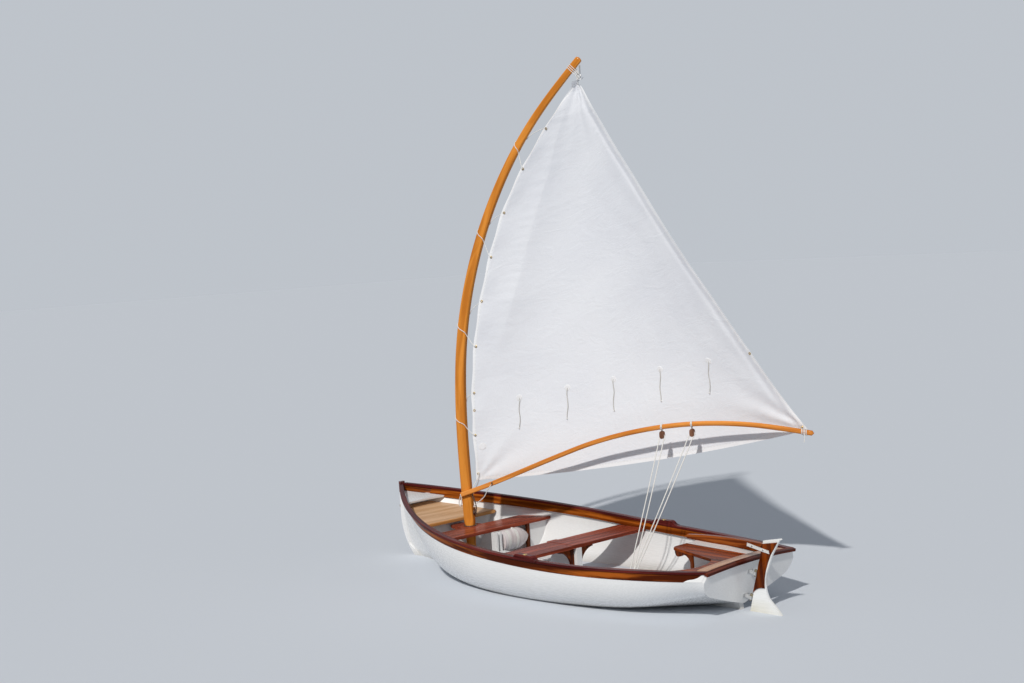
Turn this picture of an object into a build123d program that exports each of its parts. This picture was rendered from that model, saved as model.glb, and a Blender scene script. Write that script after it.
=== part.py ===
from build123d import *
import math
import os

# A small open sailing dinghy with an arched unstayed mast, one soft sail and a boom that arches over its foot.
# The frame has +X to the bow, +Y to port and +Z up, in millimetres. The origin lies on the waterline, on the
# centreline, halfway along the hull. Lengths along the hull are measured forward from the transom's top edge.

# Hull
HULL_LENGTH = 3660.0
SHELL_THICKNESS = 12.0
STRAKE_DEPTH = 66.0          # from the top of the gunwale cap down to the shell's upper edge
STRAKE_PROUD = 3.0
SEAT_GAP = 0.3               # between pieces that seat on each other
CAP_THICKNESS = 18.0
CAP_OUTSIDE = 16.0
CAP_INSIDE = 32.0
INWALE_THICKNESS = 16.0
INWALE_DEPTH = 54.0
INWALE_LEAN = 1.15           # how far its foot follows the shell's flare
INWALE_EASE = 3.2
KEEL_WIDTH = 34.0
STEM_WIDTH = 44.0
STEM_TOP = 606.0
TRANSOM_THICKNESS = 20.0
TRANSOM_ARCH = 22.0
TRANSOM_CAP_LENGTH = 52.0
TRANSOM_CAP_THICKNESS = 20.0

# Hull stations from the transom to the stem. Columns: length to the sheer, length to the keel, half breadth at
# the sheer, height of the sheer, outward step of the shell's edge from the sheer, half breadth of the bilge,
# height of the bilge, height of the keel line, rise of floor in degrees.
STATIONS = [
    (0, 83, 454, 349, 24, 390, 170, 50, 15),
    (200, 268, 527, 341, 19, 408, 124, 8, 13),
    (450, 500, 600, 333, 14, 440, 60, -30, 10),
    (1000, 1030, 715, 329, 8, 510, 0, -95, 8),
    (1600, 1610, 757, 346, 2, 530, -25, -125, 8),
    (2200, 2195, 727, 389, -4, 480, -20, -125, 9),
    (2750, 2720, 571, 450, -14, 330, 20, -110, 16),
    (3200, 3090, 341, 515, -22, 150, 70, -80, 36),
    (3480, 3420, 146, 564, -16, 44, 110, -30, 66),
    (3634, 3575, 26, 591, -5, 14, 210, 75, 84),
]

# Inside
THWART_THICKNESS = 24.0
MAST_THWART_TOP = 310.0
MAST_THWART_SPAN = (2530.0, 2785.0)
PARTNER_FRONT = 2985.0
MIDDLE_THWART_TOP = 282.0
MIDDLE_THWART_SPAN = (1600.0, 1870.0)
STRIP_WIDTH = 96.0           # of the strip between the halves of the middle thwart
STRIP_PROUD = 2.0
STRIP_OVERHANG = 18.0
BENCH_TOP = 252.0
BENCH_THICKNESS = 20.0
BENCH_NOSE = 1030.0
BULKHEAD_PLACE = 2990.0
BULKHEAD_THICKNESS = 12.0
LID_THICKNESS = 20.0
LID_DROP = 118.0             # below the sheer
LID_FRONT = 3440.0
LID_HALF = 415.0             # half its breadth at the aft edge
LID_FRONT_HALF = 150.0
FLOOR_TOP = -30.0
BOARD_THICKNESS = 12.0
PLANK_WIDTH = 92.0
PLANK_GAP = 14.0

# Centreboard and its case
CASE_SLOT = 24.0
CASE_SIDE = 14.0
CASE_SPAN = (1620.0, 2512.0)
CASE_POST = 24.0
CASE_TOP = 138.0             # of its low middle part
HEAD_AFT = 1868.0            # forward end of the raised part under the middle thwart
HEAD_FRONT = 2470.0          # aft end of the raised part under the mast thwart
CASE_CAP_WIDTH = 84.0
CASE_CAP_THICKNESS = 14.0
CENTREBOARD_THICKNESS = 14.0
CENTREBOARD_DEPTH = 690.0    # below its pivot
CENTREBOARD_CHORD = 260.0
CENTREBOARD_HEAD = 70.0      # above its pivot
PIVOT_PLACE = 2335.0
PIVOT_HEIGHT = -40.0
PIVOT_RADIUS = 7.0
PIVOT_CLEARANCE = 0.4

# Rudder
RUDDER_OFFSET = 46.0         # of the pin line, square to the transom's face plane
RUDDER_THICKNESS = 16.0
CHEEK_THICKNESS = 11.0
RUDDER_GAP = 20.0            # from the pin line to the rudder's front edge
PINTLE_RADIUS = 6.0
PINTLE_CLEARANCE = 0.5

# Rig
MAST_PLACE = 2809.0
RIG_ANGLE = 18.0             # of the sail to starboard of the centreline, in degrees
MAST_STUB_RADIUS = 39.0
MAST_CLEARANCE = 1.5
MAST_HEEL = -58.0
COLLAR_THICKNESS = 5.0
SAIL_THICKNESS = 5.0
BOOM_RADIUS = 16.0
BOOM_SIDE = 42.3             # of the boom's centreline to port of the sail's plane, against the mast's side

HALF = HULL_LENGTH / 2


def place(length):
    """X of a length measured forward from the transom's top edge."""
    return length - HALF


def station_plane(station):
    """The raked plane of a station, with its own upward axis, and the stretch of heights along it."""
    sheer_x, keel_x, keel_z, sheer_z = station[0], station[1], station[7], station[3]
    up = Vector(sheer_x - keel_x, 0, sheer_z - keel_z)
    stretch = up.length / (sheer_z - keel_z)
    up = up.normalized()
    plane = Plane(origin=(place(keel_x), 0, keel_z), x_dir=(0, 1, 0), z_dir=(up.Z, 0, -up.X))
    return plane, stretch


def skin_wire(station, inset=0.0, above=0.0):
    """A closed section of the hull: two tangent arcs a side from keel to edge, and a line across the top."""
    _, _, half, sheer_z, step, bilge, bilge_z, keel_z, rise = station
    plane, stretch = station_plane(station)
    slope = math.radians(rise)
    start = Vector(math.cos(slope), math.sin(slope))
    keel = Vector(0, 0)
    turn = Vector(bilge, (bilge_z - keel_z) * stretch)
    edge = Vector(half + step, (sheer_z - STRAKE_DEPTH - keel_z) * stretch)
    floor_arc = Edge.make_tangent_arc(keel, start, turn)
    side_arc = Edge.make_tangent_arc(turn, floor_arc % 1, edge)
    if inset:
        lean, flare = floor_arc % 1, side_arc % 1
        keel = Vector(0, inset / math.cos(min(slope, math.radians(60))))
        turn = turn + Vector(-lean.Y, lean.X) * inset
        edge = edge + Vector(-flare.Y, flare.X) * inset
        floor_arc = Edge.make_tangent_arc(keel, start, turn)
        side_arc = Edge.make_tangent_arc(turn, floor_arc % 1, edge)
    edges = [floor_arc, side_arc]
    if above:
        top = edge + Vector(-step, STRAKE_DEPTH * stretch) * (above / STRAKE_DEPTH)
        edges.append(Edge.make_line(edge, top))
        edge = top
    other = [one.mirror(Plane.YZ) for one in edges]
    across = Edge.make_line(edge, Vector(-edge.X, edge.Y))
    return plane.from_local_coords(Wire(edges + [across] + other[::-1]))


def skin_solid(stations, inset=0.0, above=0.0):
    return Solid.make_loft([skin_wire(one, inset, above) for one in stations])


def rail_solid(stations, corners, side):
    """A strip along the sheer. corners(station) gives its section as (half breadth, height) points."""
    wires = []
    for station in stations:
        plane, stretch = station_plane(station)
        keel_z = station[7]
        points = [Vector(side * y, (z - keel_z) * stretch) for y, z in corners(station)]
        wires.append(plane.from_local_coords(Wire.make_polygon(points, close=True)))
    return Solid.make_loft(wires)


def strake_corners(station):
    half, sheer, step = station[2], station[3], station[4]
    top, bottom = sheer - CAP_THICKNESS, sheer - STRAKE_DEPTH + SEAT_GAP
    return [(half + step + STRAKE_PROUD, bottom), (half + STRAKE_PROUD, top),
            (half - SHELL_THICKNESS, top), (half + step - SHELL_THICKNESS, bottom)]


def cap_corners(station):
    half, sheer = station[2], station[3]
    inner = max(half - CAP_INSIDE, 2.0)
    bottom, top, round_off = sheer - CAP_THICKNESS + SEAT_GAP, sheer, 4.0
    outer = half + CAP_OUTSIDE
    return [(outer, bottom + round_off), (outer, top - round_off), (outer - round_off, top),
            (inner + round_off / 2, top), (inner, top - round_off / 2), (inner, bottom),
            (outer - round_off, bottom)]


def inwale_corners(station):
    half, sheer, step = station[2], station[3], station[4]
    top, bottom = sheer - CAP_THICKNESS, sheer - CAP_THICKNESS - INWALE_DEPTH
    face = half - SHELL_THICKNESS - SEAT_GAP
    low_face = face + min(step, 0) * INWALE_LEAN - INWALE_EASE
    return [(face, top), (face - INWALE_THICKNESS, top), (low_face - INWALE_THICKNESS, bottom), (low_face, bottom)]


def box(x_span, y_span, z_span):
    size = [high - low for low, high in (x_span, y_span, z_span)]
    centre = [(high + low) / 2 for low, high in (x_span, y_span, z_span)]
    return Pos(*centre) * Box(*size)


def plate_xz(points, thickness, y=0.0):
    """A plate whose outline lies in the XZ plane, centred on y. Points are lengths forward and heights."""
    outline = make_face(Polyline([(place(x), z) for x, z in points], close=True))
    return extrude(Plane.XZ.offset(-y) * outline, thickness / 2, both=True)


def save(shape, name):
    shape.label = name
    export_step(shape, os.path.join("parts", name + ".step"))


def bar_ring(radius, bar):
    """A ring of eight-sided bar about Z. radius is to the middle of the bar, and bar is half its thickness."""
    return revolve(Plane.XZ * Pos(radius, 0) * RegularPolygon(bar, 8), Axis.Z)


os.makedirs("parts", exist_ok=True)

outside = skin_solid(STATIONS)
inside = skin_solid(STATIONS[:-1], SHELL_THICKNESS, STRAKE_DEPTH + 80)
room = skin_solid(STATIONS[:-1], SHELL_THICKNESS + SEAT_GAP, STRAKE_DEPTH + 80)

# Hull shell with the slot for the centreboard
slot = box((place(CASE_SPAN[0]), place(CASE_SPAN[1])), (-CASE_SLOT / 2, CASE_SLOT / 2), (-300, 60))
hull_shell = outside - inside - slot
save(hull_shell, "hull_shell")

# Keel, deepening aft into a skeg
STEM_HEEL = 3440.0           # where the keel meets the stem
STEM_FOOT = -56.0
KEEL_LINE = [(88, 56), (60, -128), (700, -140), (1600, -160), (2450, -158), (3000, -130), (3300, -94),
             (STEM_HEEL - SEAT_GAP, STEM_FOOT), (STEM_HEEL - SEAT_GAP, 40)]
keel = plate_xz(KEEL_LINE, KEEL_WIDTH) - outside - slot
save(keel, "keel")

# Stem, plumb above water and rounded into the forefoot
last = STATIONS[-1]
stem_profile = make_face(
    Polyline([(place(STEM_HEEL), STEM_FOOT), (place(STEM_HEEL), 12), (place(last[1]) + SEAT_GAP, last[7] + 14),
              (place(last[0]) + SEAT_GAP, last[3]), (place(last[0]) + SEAT_GAP, STEM_TOP), (HALF, STEM_TOP),
              (HALF - 4, 330)])
    + TangentArc((HALF - 4, 330), (place(STEM_HEEL), STEM_FOOT), tangent=(-0.03, -1))
)
stem = extrude(Plane.XZ * stem_profile, STEM_WIDTH / 2, both=True) - outside
save(stem, "stem")

# Transom: the shape of the first station with an arched top, and its cap
first_plane, first_stretch = station_plane(STATIONS[0])
half0, sheer0, step0, keel0 = STATIONS[0][2], STATIONS[0][3], STATIONS[0][4], STATIONS[0][7]
edge_v = (sheer0 - STRAKE_DEPTH - keel0) * first_stretch
top_v = (sheer0 - keel0) * first_stretch
turn0 = Vector(STATIONS[0][5], (STATIONS[0][6] - keel0) * first_stretch)
slope0 = math.radians(STATIONS[0][8])
floor0 = Edge.make_tangent_arc(Vector(0, 0), Vector(math.cos(slope0), math.sin(slope0)), turn0)
side0 = Edge.make_tangent_arc(turn0, floor0 % 1, Vector(half0 + step0, edge_v))
upper0 = Edge.make_line(Vector(half0 + step0, edge_v), Vector(half0, top_v - TRANSOM_CAP_THICKNESS))
half_edges = [floor0, side0, upper0]
arch_top = top_v - TRANSOM_CAP_THICKNESS
arch0 = Edge.make_three_point_arc(Vector(half0, arch_top), Vector(0, arch_top + TRANSOM_ARCH), Vector(-half0, arch_top))
transom_face = Face(Wire(half_edges + [arch0] + [one.mirror(Plane.YZ) for one in half_edges][::-1]))
transom = first_plane * Pos(0, 0, -TRANSOM_THICKNESS - SEAT_GAP) * extrude(transom_face, TRANSOM_THICKNESS)
save(transom, "transom")

cap_half = half0 + CAP_OUTSIDE
cap_low = arch_top + SEAT_GAP
cap_face = make_face(
    ThreePointArc((cap_half, cap_low), (0, cap_low + TRANSOM_ARCH), (-cap_half, cap_low))
    + Line((-cap_half, cap_low), (-cap_half, cap_low + TRANSOM_CAP_THICKNESS))
    + ThreePointArc((-cap_half, cap_low + TRANSOM_CAP_THICKNESS), (0, cap_low + TRANSOM_CAP_THICKNESS + TRANSOM_ARCH),
                    (cap_half, cap_low + TRANSOM_CAP_THICKNESS))
    + Line((cap_half, cap_low + TRANSOM_CAP_THICKNESS), (cap_half, cap_low))
)
cap_back = TRANSOM_THICKNESS + SEAT_GAP + 14
transom_cap = first_plane * Pos(0, 0, -cap_back) * extrude(cap_face, cap_back - SEAT_GAP)
save(transom_cap, "transom_cap")

# Strips along the sheer, port and starboard
INWALE_END = 3440.0
SIDES = (("port", 1), ("starboard", -1))
aft_of_stem = box((-2 * HALF, place(INWALE_END)), (-900, 900), (0, 900))
OGEE_FOOT, OGEE_MIDDLE, OGEE_TOP = (152, 262), (92, 297), (22, 332)
ogee_corner = make_face(
    Polyline([(place(OGEE_TOP[0]), OGEE_TOP[1]), (place(-60), OGEE_TOP[1]), (place(-60), 200), (place(176), 200),
              (place(OGEE_FOOT[0] + 10), OGEE_FOOT[1]), (place(OGEE_FOOT[0]), OGEE_FOOT[1] + 3)])
    + ThreePointArc((place(OGEE_FOOT[0]), OGEE_FOOT[1] + 3), (place(128), 284), (place(OGEE_MIDDLE[0]), OGEE_MIDDLE[1]))
    + ThreePointArc((place(OGEE_MIDDLE[0]), OGEE_MIDDLE[1]), (place(52), 308), (place(OGEE_TOP[0]), OGEE_TOP[1]))
)
ogee_cut = extrude(Plane.XZ * ogee_corner, 900, both=True)
strakes = {}
inwales = {}
caps = {}
for side_name, side in SIDES:
    strakes[side_name] = rail_solid(STATIONS, strake_corners, side)
    save(strakes[side_name] - ogee_cut, "sheer_strake_" + side_name)
    save(strakes[side_name] & ogee_cut, "strake_corner_" + side_name)
    caps[side_name] = rail_solid(STATIONS, cap_corners, side)
    save(caps[side_name], "gunwale_cap_" + side_name)
    inwales[side_name] = rail_solid(STATIONS, inwale_corners, side) & aft_of_stem
    save(inwales[side_name], "inwale_" + side_name)

# Breasthook, a small deck between the inwales with a slightly hollow aft edge
HOOK_SPAN = (3318.0, 3560.0)
HOOK_HOLLOW = 30.0
HOOK_DROP = 58.0             # below the sheer
HOOK_THICKNESS = 14.0
hook_outline = make_face(
    Polyline([(place(HOOK_SPAN[0]), 330), (place(HOOK_SPAN[1]), 330), (place(HOOK_SPAN[1]), -330),
              (place(HOOK_SPAN[0]), -330)])
    + ThreePointArc((place(HOOK_SPAN[0]), -330), (place(HOOK_SPAN[0] + HOOK_HOLLOW), 0), (place(HOOK_SPAN[0]), 330))
)


def sheer_slab(x_span, drop, thickness):
    """A full-width slab that runs parallel to the sheer at a drop below it, between two lengths."""
    x0, x1 = x_span
    rise = (STATIONS[-2][3] - STATIONS[-3][3]) / (STATIONS[-2][0] - STATIONS[-3][0])
    z0 = STATIONS[-3][3] + rise * (x0 - STATIONS[-3][0]) - drop
    z1 = STATIONS[-3][3] + rise * (x1 - STATIONS[-3][0]) - drop
    return plate_xz([(x0, z0 - thickness), (x1, z1 - thickness), (x1, z1), (x0, z0)], 1400)


breasthook = sheer_slab(HOOK_SPAN, HOOK_DROP, HOOK_THICKNESS) & extrude(hook_outline, 900) & room
for side_name, side in SIDES:
    breasthook = breasthook - inwales[side_name] - strakes[side_name]
save(breasthook, "breasthook")

# Bow lid and the bulkhead under its aft edge
lid_outline = make_face(Polyline([
    (place(BULKHEAD_PLACE - 30), LID_HALF), (place(LID_FRONT), LID_FRONT_HALF), (place(LID_FRONT), -LID_FRONT_HALF),
    (place(BULKHEAD_PLACE - 30), -LID_HALF),
], close=True))
bow_lid = sheer_slab((BULKHEAD_PLACE - 30, LID_FRONT), LID_DROP, LID_THICKNESS) & extrude(lid_outline, 900) & room
save(bow_lid, "bow_lid")
lid_under = sheer_slab((BULKHEAD_PLACE - 60, LID_FRONT), LID_DROP + LID_THICKNESS + SEAT_GAP, 900)
bulkhead_slab = box((place(BULKHEAD_PLACE), place(BULKHEAD_PLACE + BULKHEAD_THICKNESS)), (-700, 700), (-200, 600))
bow_bulkhead = bulkhead_slab & lid_under & room
save(bow_bulkhead, "bow_bulkhead")

# Mast thwart, partner plank and mast step
stub_hole = Pos(place(MAST_PLACE), 0, 0) * Cylinder(MAST_STUB_RADIUS + MAST_CLEARANCE, 2000)
thwart_z = (MAST_THWART_TOP - THWART_THICKNESS, MAST_THWART_TOP)
mast_thwart = box((place(MAST_THWART_SPAN[0]), place(MAST_THWART_SPAN[1])), (-800, 800), thwart_z) & room
mast_thwart = mast_thwart - stub_hole
save(mast_thwart, "mast_thwart")
partner_outline = make_face(Polyline([
    (place(MAST_THWART_SPAN[1]) + SEAT_GAP, 105), (place(PARTNER_FRONT) - 40, 72), (place(PARTNER_FRONT), 55),
    (place(PARTNER_FRONT), -55), (place(PARTNER_FRONT) - 40, -72), (place(MAST_THWART_SPAN[1]) + SEAT_GAP, -105),
], close=True))
partner = Pos(0, 0, thwart_z[0]) * extrude(partner_outline, THWART_THICKNESS) - stub_hole
save(partner, "mast_partner")
step_block = box((place(MAST_PLACE - 110), place(MAST_PLACE + 110)), (-75, 75), (-200, 10)) & room
step_hole = Pos(place(MAST_PLACE), 0, (MAST_HEEL - SEAT_GAP) + 100) * Cylinder(MAST_STUB_RADIUS + MAST_CLEARANCE, 200)
save(step_block - step_hole, "mast_step")

# Webs under the mast thwart, with a wooden strip on the inner edge of each
WEB_INNER, WEB_PLACE, WEB_THICKNESS = 410.0, 2560.0, 14.0
for side_name, side in SIDES:
    low, high = sorted((side * WEB_INNER, side * 800))
    web = box((place(WEB_PLACE), place(WEB_PLACE + WEB_THICKNESS)), (low, high), (-200, thwart_z[0] - SEAT_GAP)) & room
    save(web, "thwart_web_" + side_name)
    near, far = sorted((side * (WEB_INNER - SEAT_GAP), side * (WEB_INNER - 26)))
    strip = box((place(WEB_PLACE - 6), place(WEB_PLACE + WEB_THICKNESS + 6)), (near, far),
                (-200, thwart_z[0] - SEAT_GAP)) & room
    save(strip, "thwart_web_strip_" + side_name)

# Centreboard case: two sides with raised ends that carry the thwarts, end posts, and a cap with its slot
case_y = CASE_SLOT / 2
case_ends = (CASE_SPAN[0] - CASE_POST, CASE_SPAN[1] + CASE_POST)
aft_head = MIDDLE_THWART_TOP - THWART_THICKNESS - SEAT_GAP
front_head = thwart_z[0] - SEAT_GAP
low_top = CASE_TOP - CASE_CAP_THICKNESS - SEAT_GAP
case_line = [(case_ends[0], -200), (case_ends[1], -200), (case_ends[1], front_head), (HEAD_FRONT, front_head),
             (HEAD_FRONT, low_top), (HEAD_AFT + 40, low_top), (HEAD_AFT, low_top + 50), (HEAD_AFT, aft_head),
             (case_ends[0], aft_head)]
case = plate_xz(case_line, CASE_SIDE, case_y + CASE_SIDE / 2) + plate_xz(case_line, CASE_SIDE, -case_y - CASE_SIDE / 2)
case = case + box((place(case_ends[0]), place(CASE_SPAN[0])), (-case_y, case_y), (-200, aft_head))
case = case + box((place(CASE_SPAN[1]), place(case_ends[1])), (-case_y, case_y), (-200, front_head))
case = case & room
pivot_hole = Pos(place(PIVOT_PLACE), 0, PIVOT_HEIGHT) * Rot(90, 0, 0) * Cylinder(PIVOT_RADIUS + PIVOT_CLEARANCE, 200)
save(case - pivot_hole, "centreboard_case")
cap_span = (HEAD_AFT + 40, HEAD_FRONT - SEAT_GAP)
case_cap = box((place(cap_span[0]), place(cap_span[1])), (-CASE_CAP_WIDTH / 2, CASE_CAP_WIDTH / 2),
               (CASE_TOP - CASE_CAP_THICKNESS, CASE_TOP))
case_cap = case_cap - box((place(cap_span[0] + 20), place(cap_span[1] - 20)), (-case_y, case_y), (0, 400))
save(case_cap, "centreboard_case_cap")
pivot_pin = Pos(place(PIVOT_PLACE), 0, PIVOT_HEIGHT) * Rot(90, 0, 0) * Cylinder(PIVOT_RADIUS, CASE_SLOT + 2 * CASE_SIDE)
save(pivot_pin, "centreboard_pin")

# Centreboard, hanging down
cb_front, cb_back = PIVOT_PLACE + 110, PIVOT_PLACE + 110 - CENTREBOARD_CHORD
cb_top, cb_low = PIVOT_HEIGHT + CENTREBOARD_HEAD, PIVOT_HEIGHT - CENTREBOARD_DEPTH
board_face = make_face(
    Polyline([(place(cb_front), cb_low + 130), (place(cb_front), cb_top - 30), (place(cb_front - 30), cb_top),
              (place(cb_back + 30), cb_top), (place(cb_back), cb_top - 30), (place(cb_back), cb_low + 10),
              (place(cb_back + 60), cb_low)])
    + ThreePointArc((place(cb_back + 60), cb_low), (place(cb_front - 45), cb_low + 35), (place(cb_front), cb_low + 130))
)
centreboard = extrude(Plane.XZ * board_face, CENTREBOARD_THICKNESS / 2, both=True) - pivot_hole
save(centreboard, "centreboard")

# Middle thwart in two halves on the case, a strip between them, and brackets at the aft end of the case
half_gap = STRIP_WIDTH / 2 + SEAT_GAP
mid_z = (MIDDLE_THWART_TOP - THWART_THICKNESS, MIDDLE_THWART_TOP)
mid_x = (place(MIDDLE_THWART_SPAN[0]), place(MIDDLE_THWART_SPAN[1]))
strip = box((mid_x[0], mid_x[1] + STRIP_OVERHANG), (-STRIP_WIDTH / 2, STRIP_WIDTH / 2), (mid_z[0], mid_z[1] + STRIP_PROUD))
save(strip, "middle_thwart_strip")
for side_name, side in SIDES:
    low, high = sorted((side * half_gap, side * 900))
    save((box(mid_x, (low, high), mid_z) & room) - inwales[side_name], "middle_thwart_" + side_name)
post_y = case_y + CASE_SIDE + SEAT_GAP
for side_name, side in SIDES:
    bracket = make_face(
        Polyline([(side * (post_y + 150), mid_z[0] - SEAT_GAP), (side * post_y, mid_z[0] - SEAT_GAP),
                  (side * post_y, FLOOR_TOP + SEAT_GAP),
                  (side * (post_y + 28), FLOOR_TOP + SEAT_GAP), (side * (post_y + 28), mid_z[0] - 110)])
        + ThreePointArc((side * (post_y + 28), mid_z[0] - 110), (side * (post_y + 62), mid_z[0] - 55),
                        (side * (post_y + 150), mid_z[0] - 18))
        + Line((side * (post_y + 150), mid_z[0] - 18), (side * (post_y + 150), mid_z[0] - SEAT_GAP))
    )
    knee_plane = Plane(origin=(mid_x[0] + 40, 0, 0), x_dir=(0, 1, 0), z_dir=(1, 0, 0))
    save(extrude(knee_plane * bracket, 13, both=True), "thwart_knee_" + side_name)

# Floorboards on bearers
bearers = []
for x in (780, 1230, 1680, 2130, 2600):
    bearers.append(box((place(x), place(x + 28)), (-430, 430), (-200, FLOOR_TOP - BOARD_THICKNESS - SEAT_GAP)) & room)
case_room = box((place(CASE_SPAN[0] - CASE_POST - 1), place(CASE_SPAN[1] + CASE_POST + 1)),
                (-case_y - CASE_SIDE - SEAT_GAP, case_y + CASE_SIDE + SEAT_GAP), (-300, 600))
bearer_set = Compound(children=[solid for one in bearers for solid in (one - case_room).solids()])
save(bearer_set, "floor_bearers")
planks = []
for side in (1, -1):
    for row in range(4):
        near = case_y + CASE_SIDE + 8 + row * (PLANK_WIDTH + PLANK_GAP)
        low, high = sorted((side * near, side * (near + PLANK_WIDTH)))
        plank = box((place(640), place(2490)), (low, high), (FLOOR_TOP - BOARD_THICKNESS, FLOOR_TOP)) & room
        planks.extend(plank.solids())
save(Compound(children=planks), "floorboards")

# Stern bench: two side wings joined across the transom, with a scalloped apron under each inner edge
bench_z = (BENCH_TOP - BENCH_THICKNESS, BENCH_TOP)
WING_START = (520.0, 222.0)  # length and half breadth where a wing's inner edge begins
WING_END = (BENCH_NOSE - 20, 390.0)
bench_outline = make_face(
    Polyline([(place(WING_START[0]), -WING_START[1]), (place(WING_END[0]), -WING_END[1]), (place(BENCH_NOSE), -430),
              (place(BENCH_NOSE), -900), (place(-60), -900), (place(-60), 900), (place(BENCH_NOSE), 900),
              (place(BENCH_NOSE), 430), (place(WING_END[0]), WING_END[1]), (place(WING_START[0]), WING_START[1])])
    + ThreePointArc((place(WING_START[0]), WING_START[1]), (place(430), 0), (place(WING_START[0]), -WING_START[1]))
)
stern_bench = (Pos(0, 0, bench_z[0]) * extrude(bench_outline, BENCH_THICKNESS)) & room
stern_bench = stern_bench - inwales["port"] - inwales["starboard"]
save(stern_bench, "stern_bench")

# Aprons. Their outline is in distances aft of the wing's inner corner and heights below the bench's underside.
APRON_THICKNESS = 16.0
APRON_INSET = 12.0
APRON_POST = (222.0, 250.0)
wing_run = Vector(WING_START[0] - WING_END[0], WING_START[1] - WING_END[1])
for side_name, side in SIDES:
    aft_along = Vector(wing_run.X, side * wing_run.Y, 0).normalized()
    outboard = Vector(aft_along.Y, -aft_along.X, 0) * side * -1
    corner = Vector(place(WING_END[0]), side * WING_END[1], bench_z[0] - SEAT_GAP)
    corner = corner + outboard * (APRON_INSET if outboard.Y * side > 0 else -APRON_INSET)
    apron_plane = Plane(origin=corner, x_dir=aft_along, z_dir=aft_along.cross(Vector(0, 0, 1)))
    apron_face = make_face(
        Polyline([(APRON_POST[1], 0), (8, 0), (8, -14)])
        + ThreePointArc((8, -14), (22, -34), (50, -40))
        + ThreePointArc((50, -40), (92, -30), (120, -16))
        + ThreePointArc((120, -16), (172, -18), (APRON_POST[0], -52))
        + Polyline([(APRON_POST[0], -52), (APRON_POST[0], -400), (APRON_POST[1], -400), (APRON_POST[1], 0)])
    )
    save(extrude(apron_plane * apron_face, APRON_THICKNESS / 2, both=True) & room, "bench_apron_" + side_name)

# Ring on the transom and its plate, and the ring on the stem
transom_ring_seat = first_plane * Pos(-95, 265 * first_stretch, -TRANSOM_THICKNESS - SEAT_GAP)
ring = transom_ring_seat * (Pos(0, 0, -2.3) * Cylinder(11, 4) + Pos(0, 0, -8) * Box(6, 6, 9)
                            + Pos(0, -9, -9) * bar_ring(9, 2.5))
save(ring, "transom_ring")
bow_ring = (Pos(HALF + 0.5, 0, 400) * Rot(0, 90, 0) * Cylinder(14, 6)
            + Pos(HALF + 14, 0, 396) * Rot(90, 0, 0) * bar_ring(13, 3.5))
save(bow_ring, "bow_ring")

# Rowlock pads with ogee ends and a bored socket
PAD_SPAN = (1268.0, 1532.0)
PAD_HEIGHT = 34.0
PAD_WIDTH = 44.0
SOCKET_RADIUS = 7.0
SOCKET_DEPTH = 20.0
PAD_BASE = 330.0             # below the cap's top, which the pad is hollowed to fit
PAD_MIDDLE = 738.0
for side_name, side in SIDES:
    flat = (PAD_SPAN[1] - PAD_SPAN[0]) / 2 - 62
    pad_face = make_face(
        Polyline([(-flat, PAD_HEIGHT), (flat, PAD_HEIGHT)])
        + ThreePointArc((flat, PAD_HEIGHT), (flat + 20, PAD_HEIGHT - 7), (flat + 31, PAD_HEIGHT / 2))
        + ThreePointArc((flat + 31, PAD_HEIGHT / 2), (flat + 42, 9), (flat + 62, 5))
        + Polyline([(flat + 62, 5), (flat + 62, 0), (-flat - 62, 0), (-flat - 62, 5)])
        + ThreePointArc((-flat - 62, 5), (-flat - 42, 9), (-flat - 31, PAD_HEIGHT / 2))
        + ThreePointArc((-flat - 31, PAD_HEIGHT / 2), (-flat - 20, PAD_HEIGHT - 7), (-flat, PAD_HEIGHT))
    )
    socket = Pos(0, 0, PAD_HEIGHT) * Cylinder(SOCKET_RADIUS, 2 * SOCKET_DEPTH)
    pad = extrude(Plane.XZ * pad_face, PAD_WIDTH / 2, both=True) - socket
    mid_x_pad = place((PAD_SPAN[0] + PAD_SPAN[1]) / 2)
    pad = Pos(mid_x_pad, side * PAD_MIDDLE, PAD_BASE) * Rot(0, 0, side * -3) * pad
    save(pad - caps[side_name], "rowlock_pad_" + side_name)

# Buoyancy roll strapped under the mast thwart, on the starboard side of the case, with a rounded outer end
ROLL_RADIUS = 88.0
ROLL_SPAN = (52.0, 366.0)    # half breadths
ROLL_ROUND = 150.0           # length of the rounded end
roll_place = MAST_THWART_SPAN[0] + 12
roll_line = make_face(
    Polyline([(0, ROLL_SPAN[1]), (0, ROLL_SPAN[0]), (ROLL_RADIUS, ROLL_SPAN[0]), (ROLL_RADIUS, ROLL_SPAN[1] - ROLL_ROUND)])
    + TangentArc((ROLL_RADIUS, ROLL_SPAN[1] - ROLL_ROUND), (14, ROLL_SPAN[1]), tangent=(0, 1))
    + Line((14, ROLL_SPAN[1]), (0, ROLL_SPAN[1]))
)
roll = Pos(place(roll_place), 0, thwart_z[0] - SEAT_GAP - ROLL_RADIUS) * Rot(90, 0, 0) * revolve(
    Plane.XZ * roll_line, Axis.Z)
save(roll, "buoyancy_roll")

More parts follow.
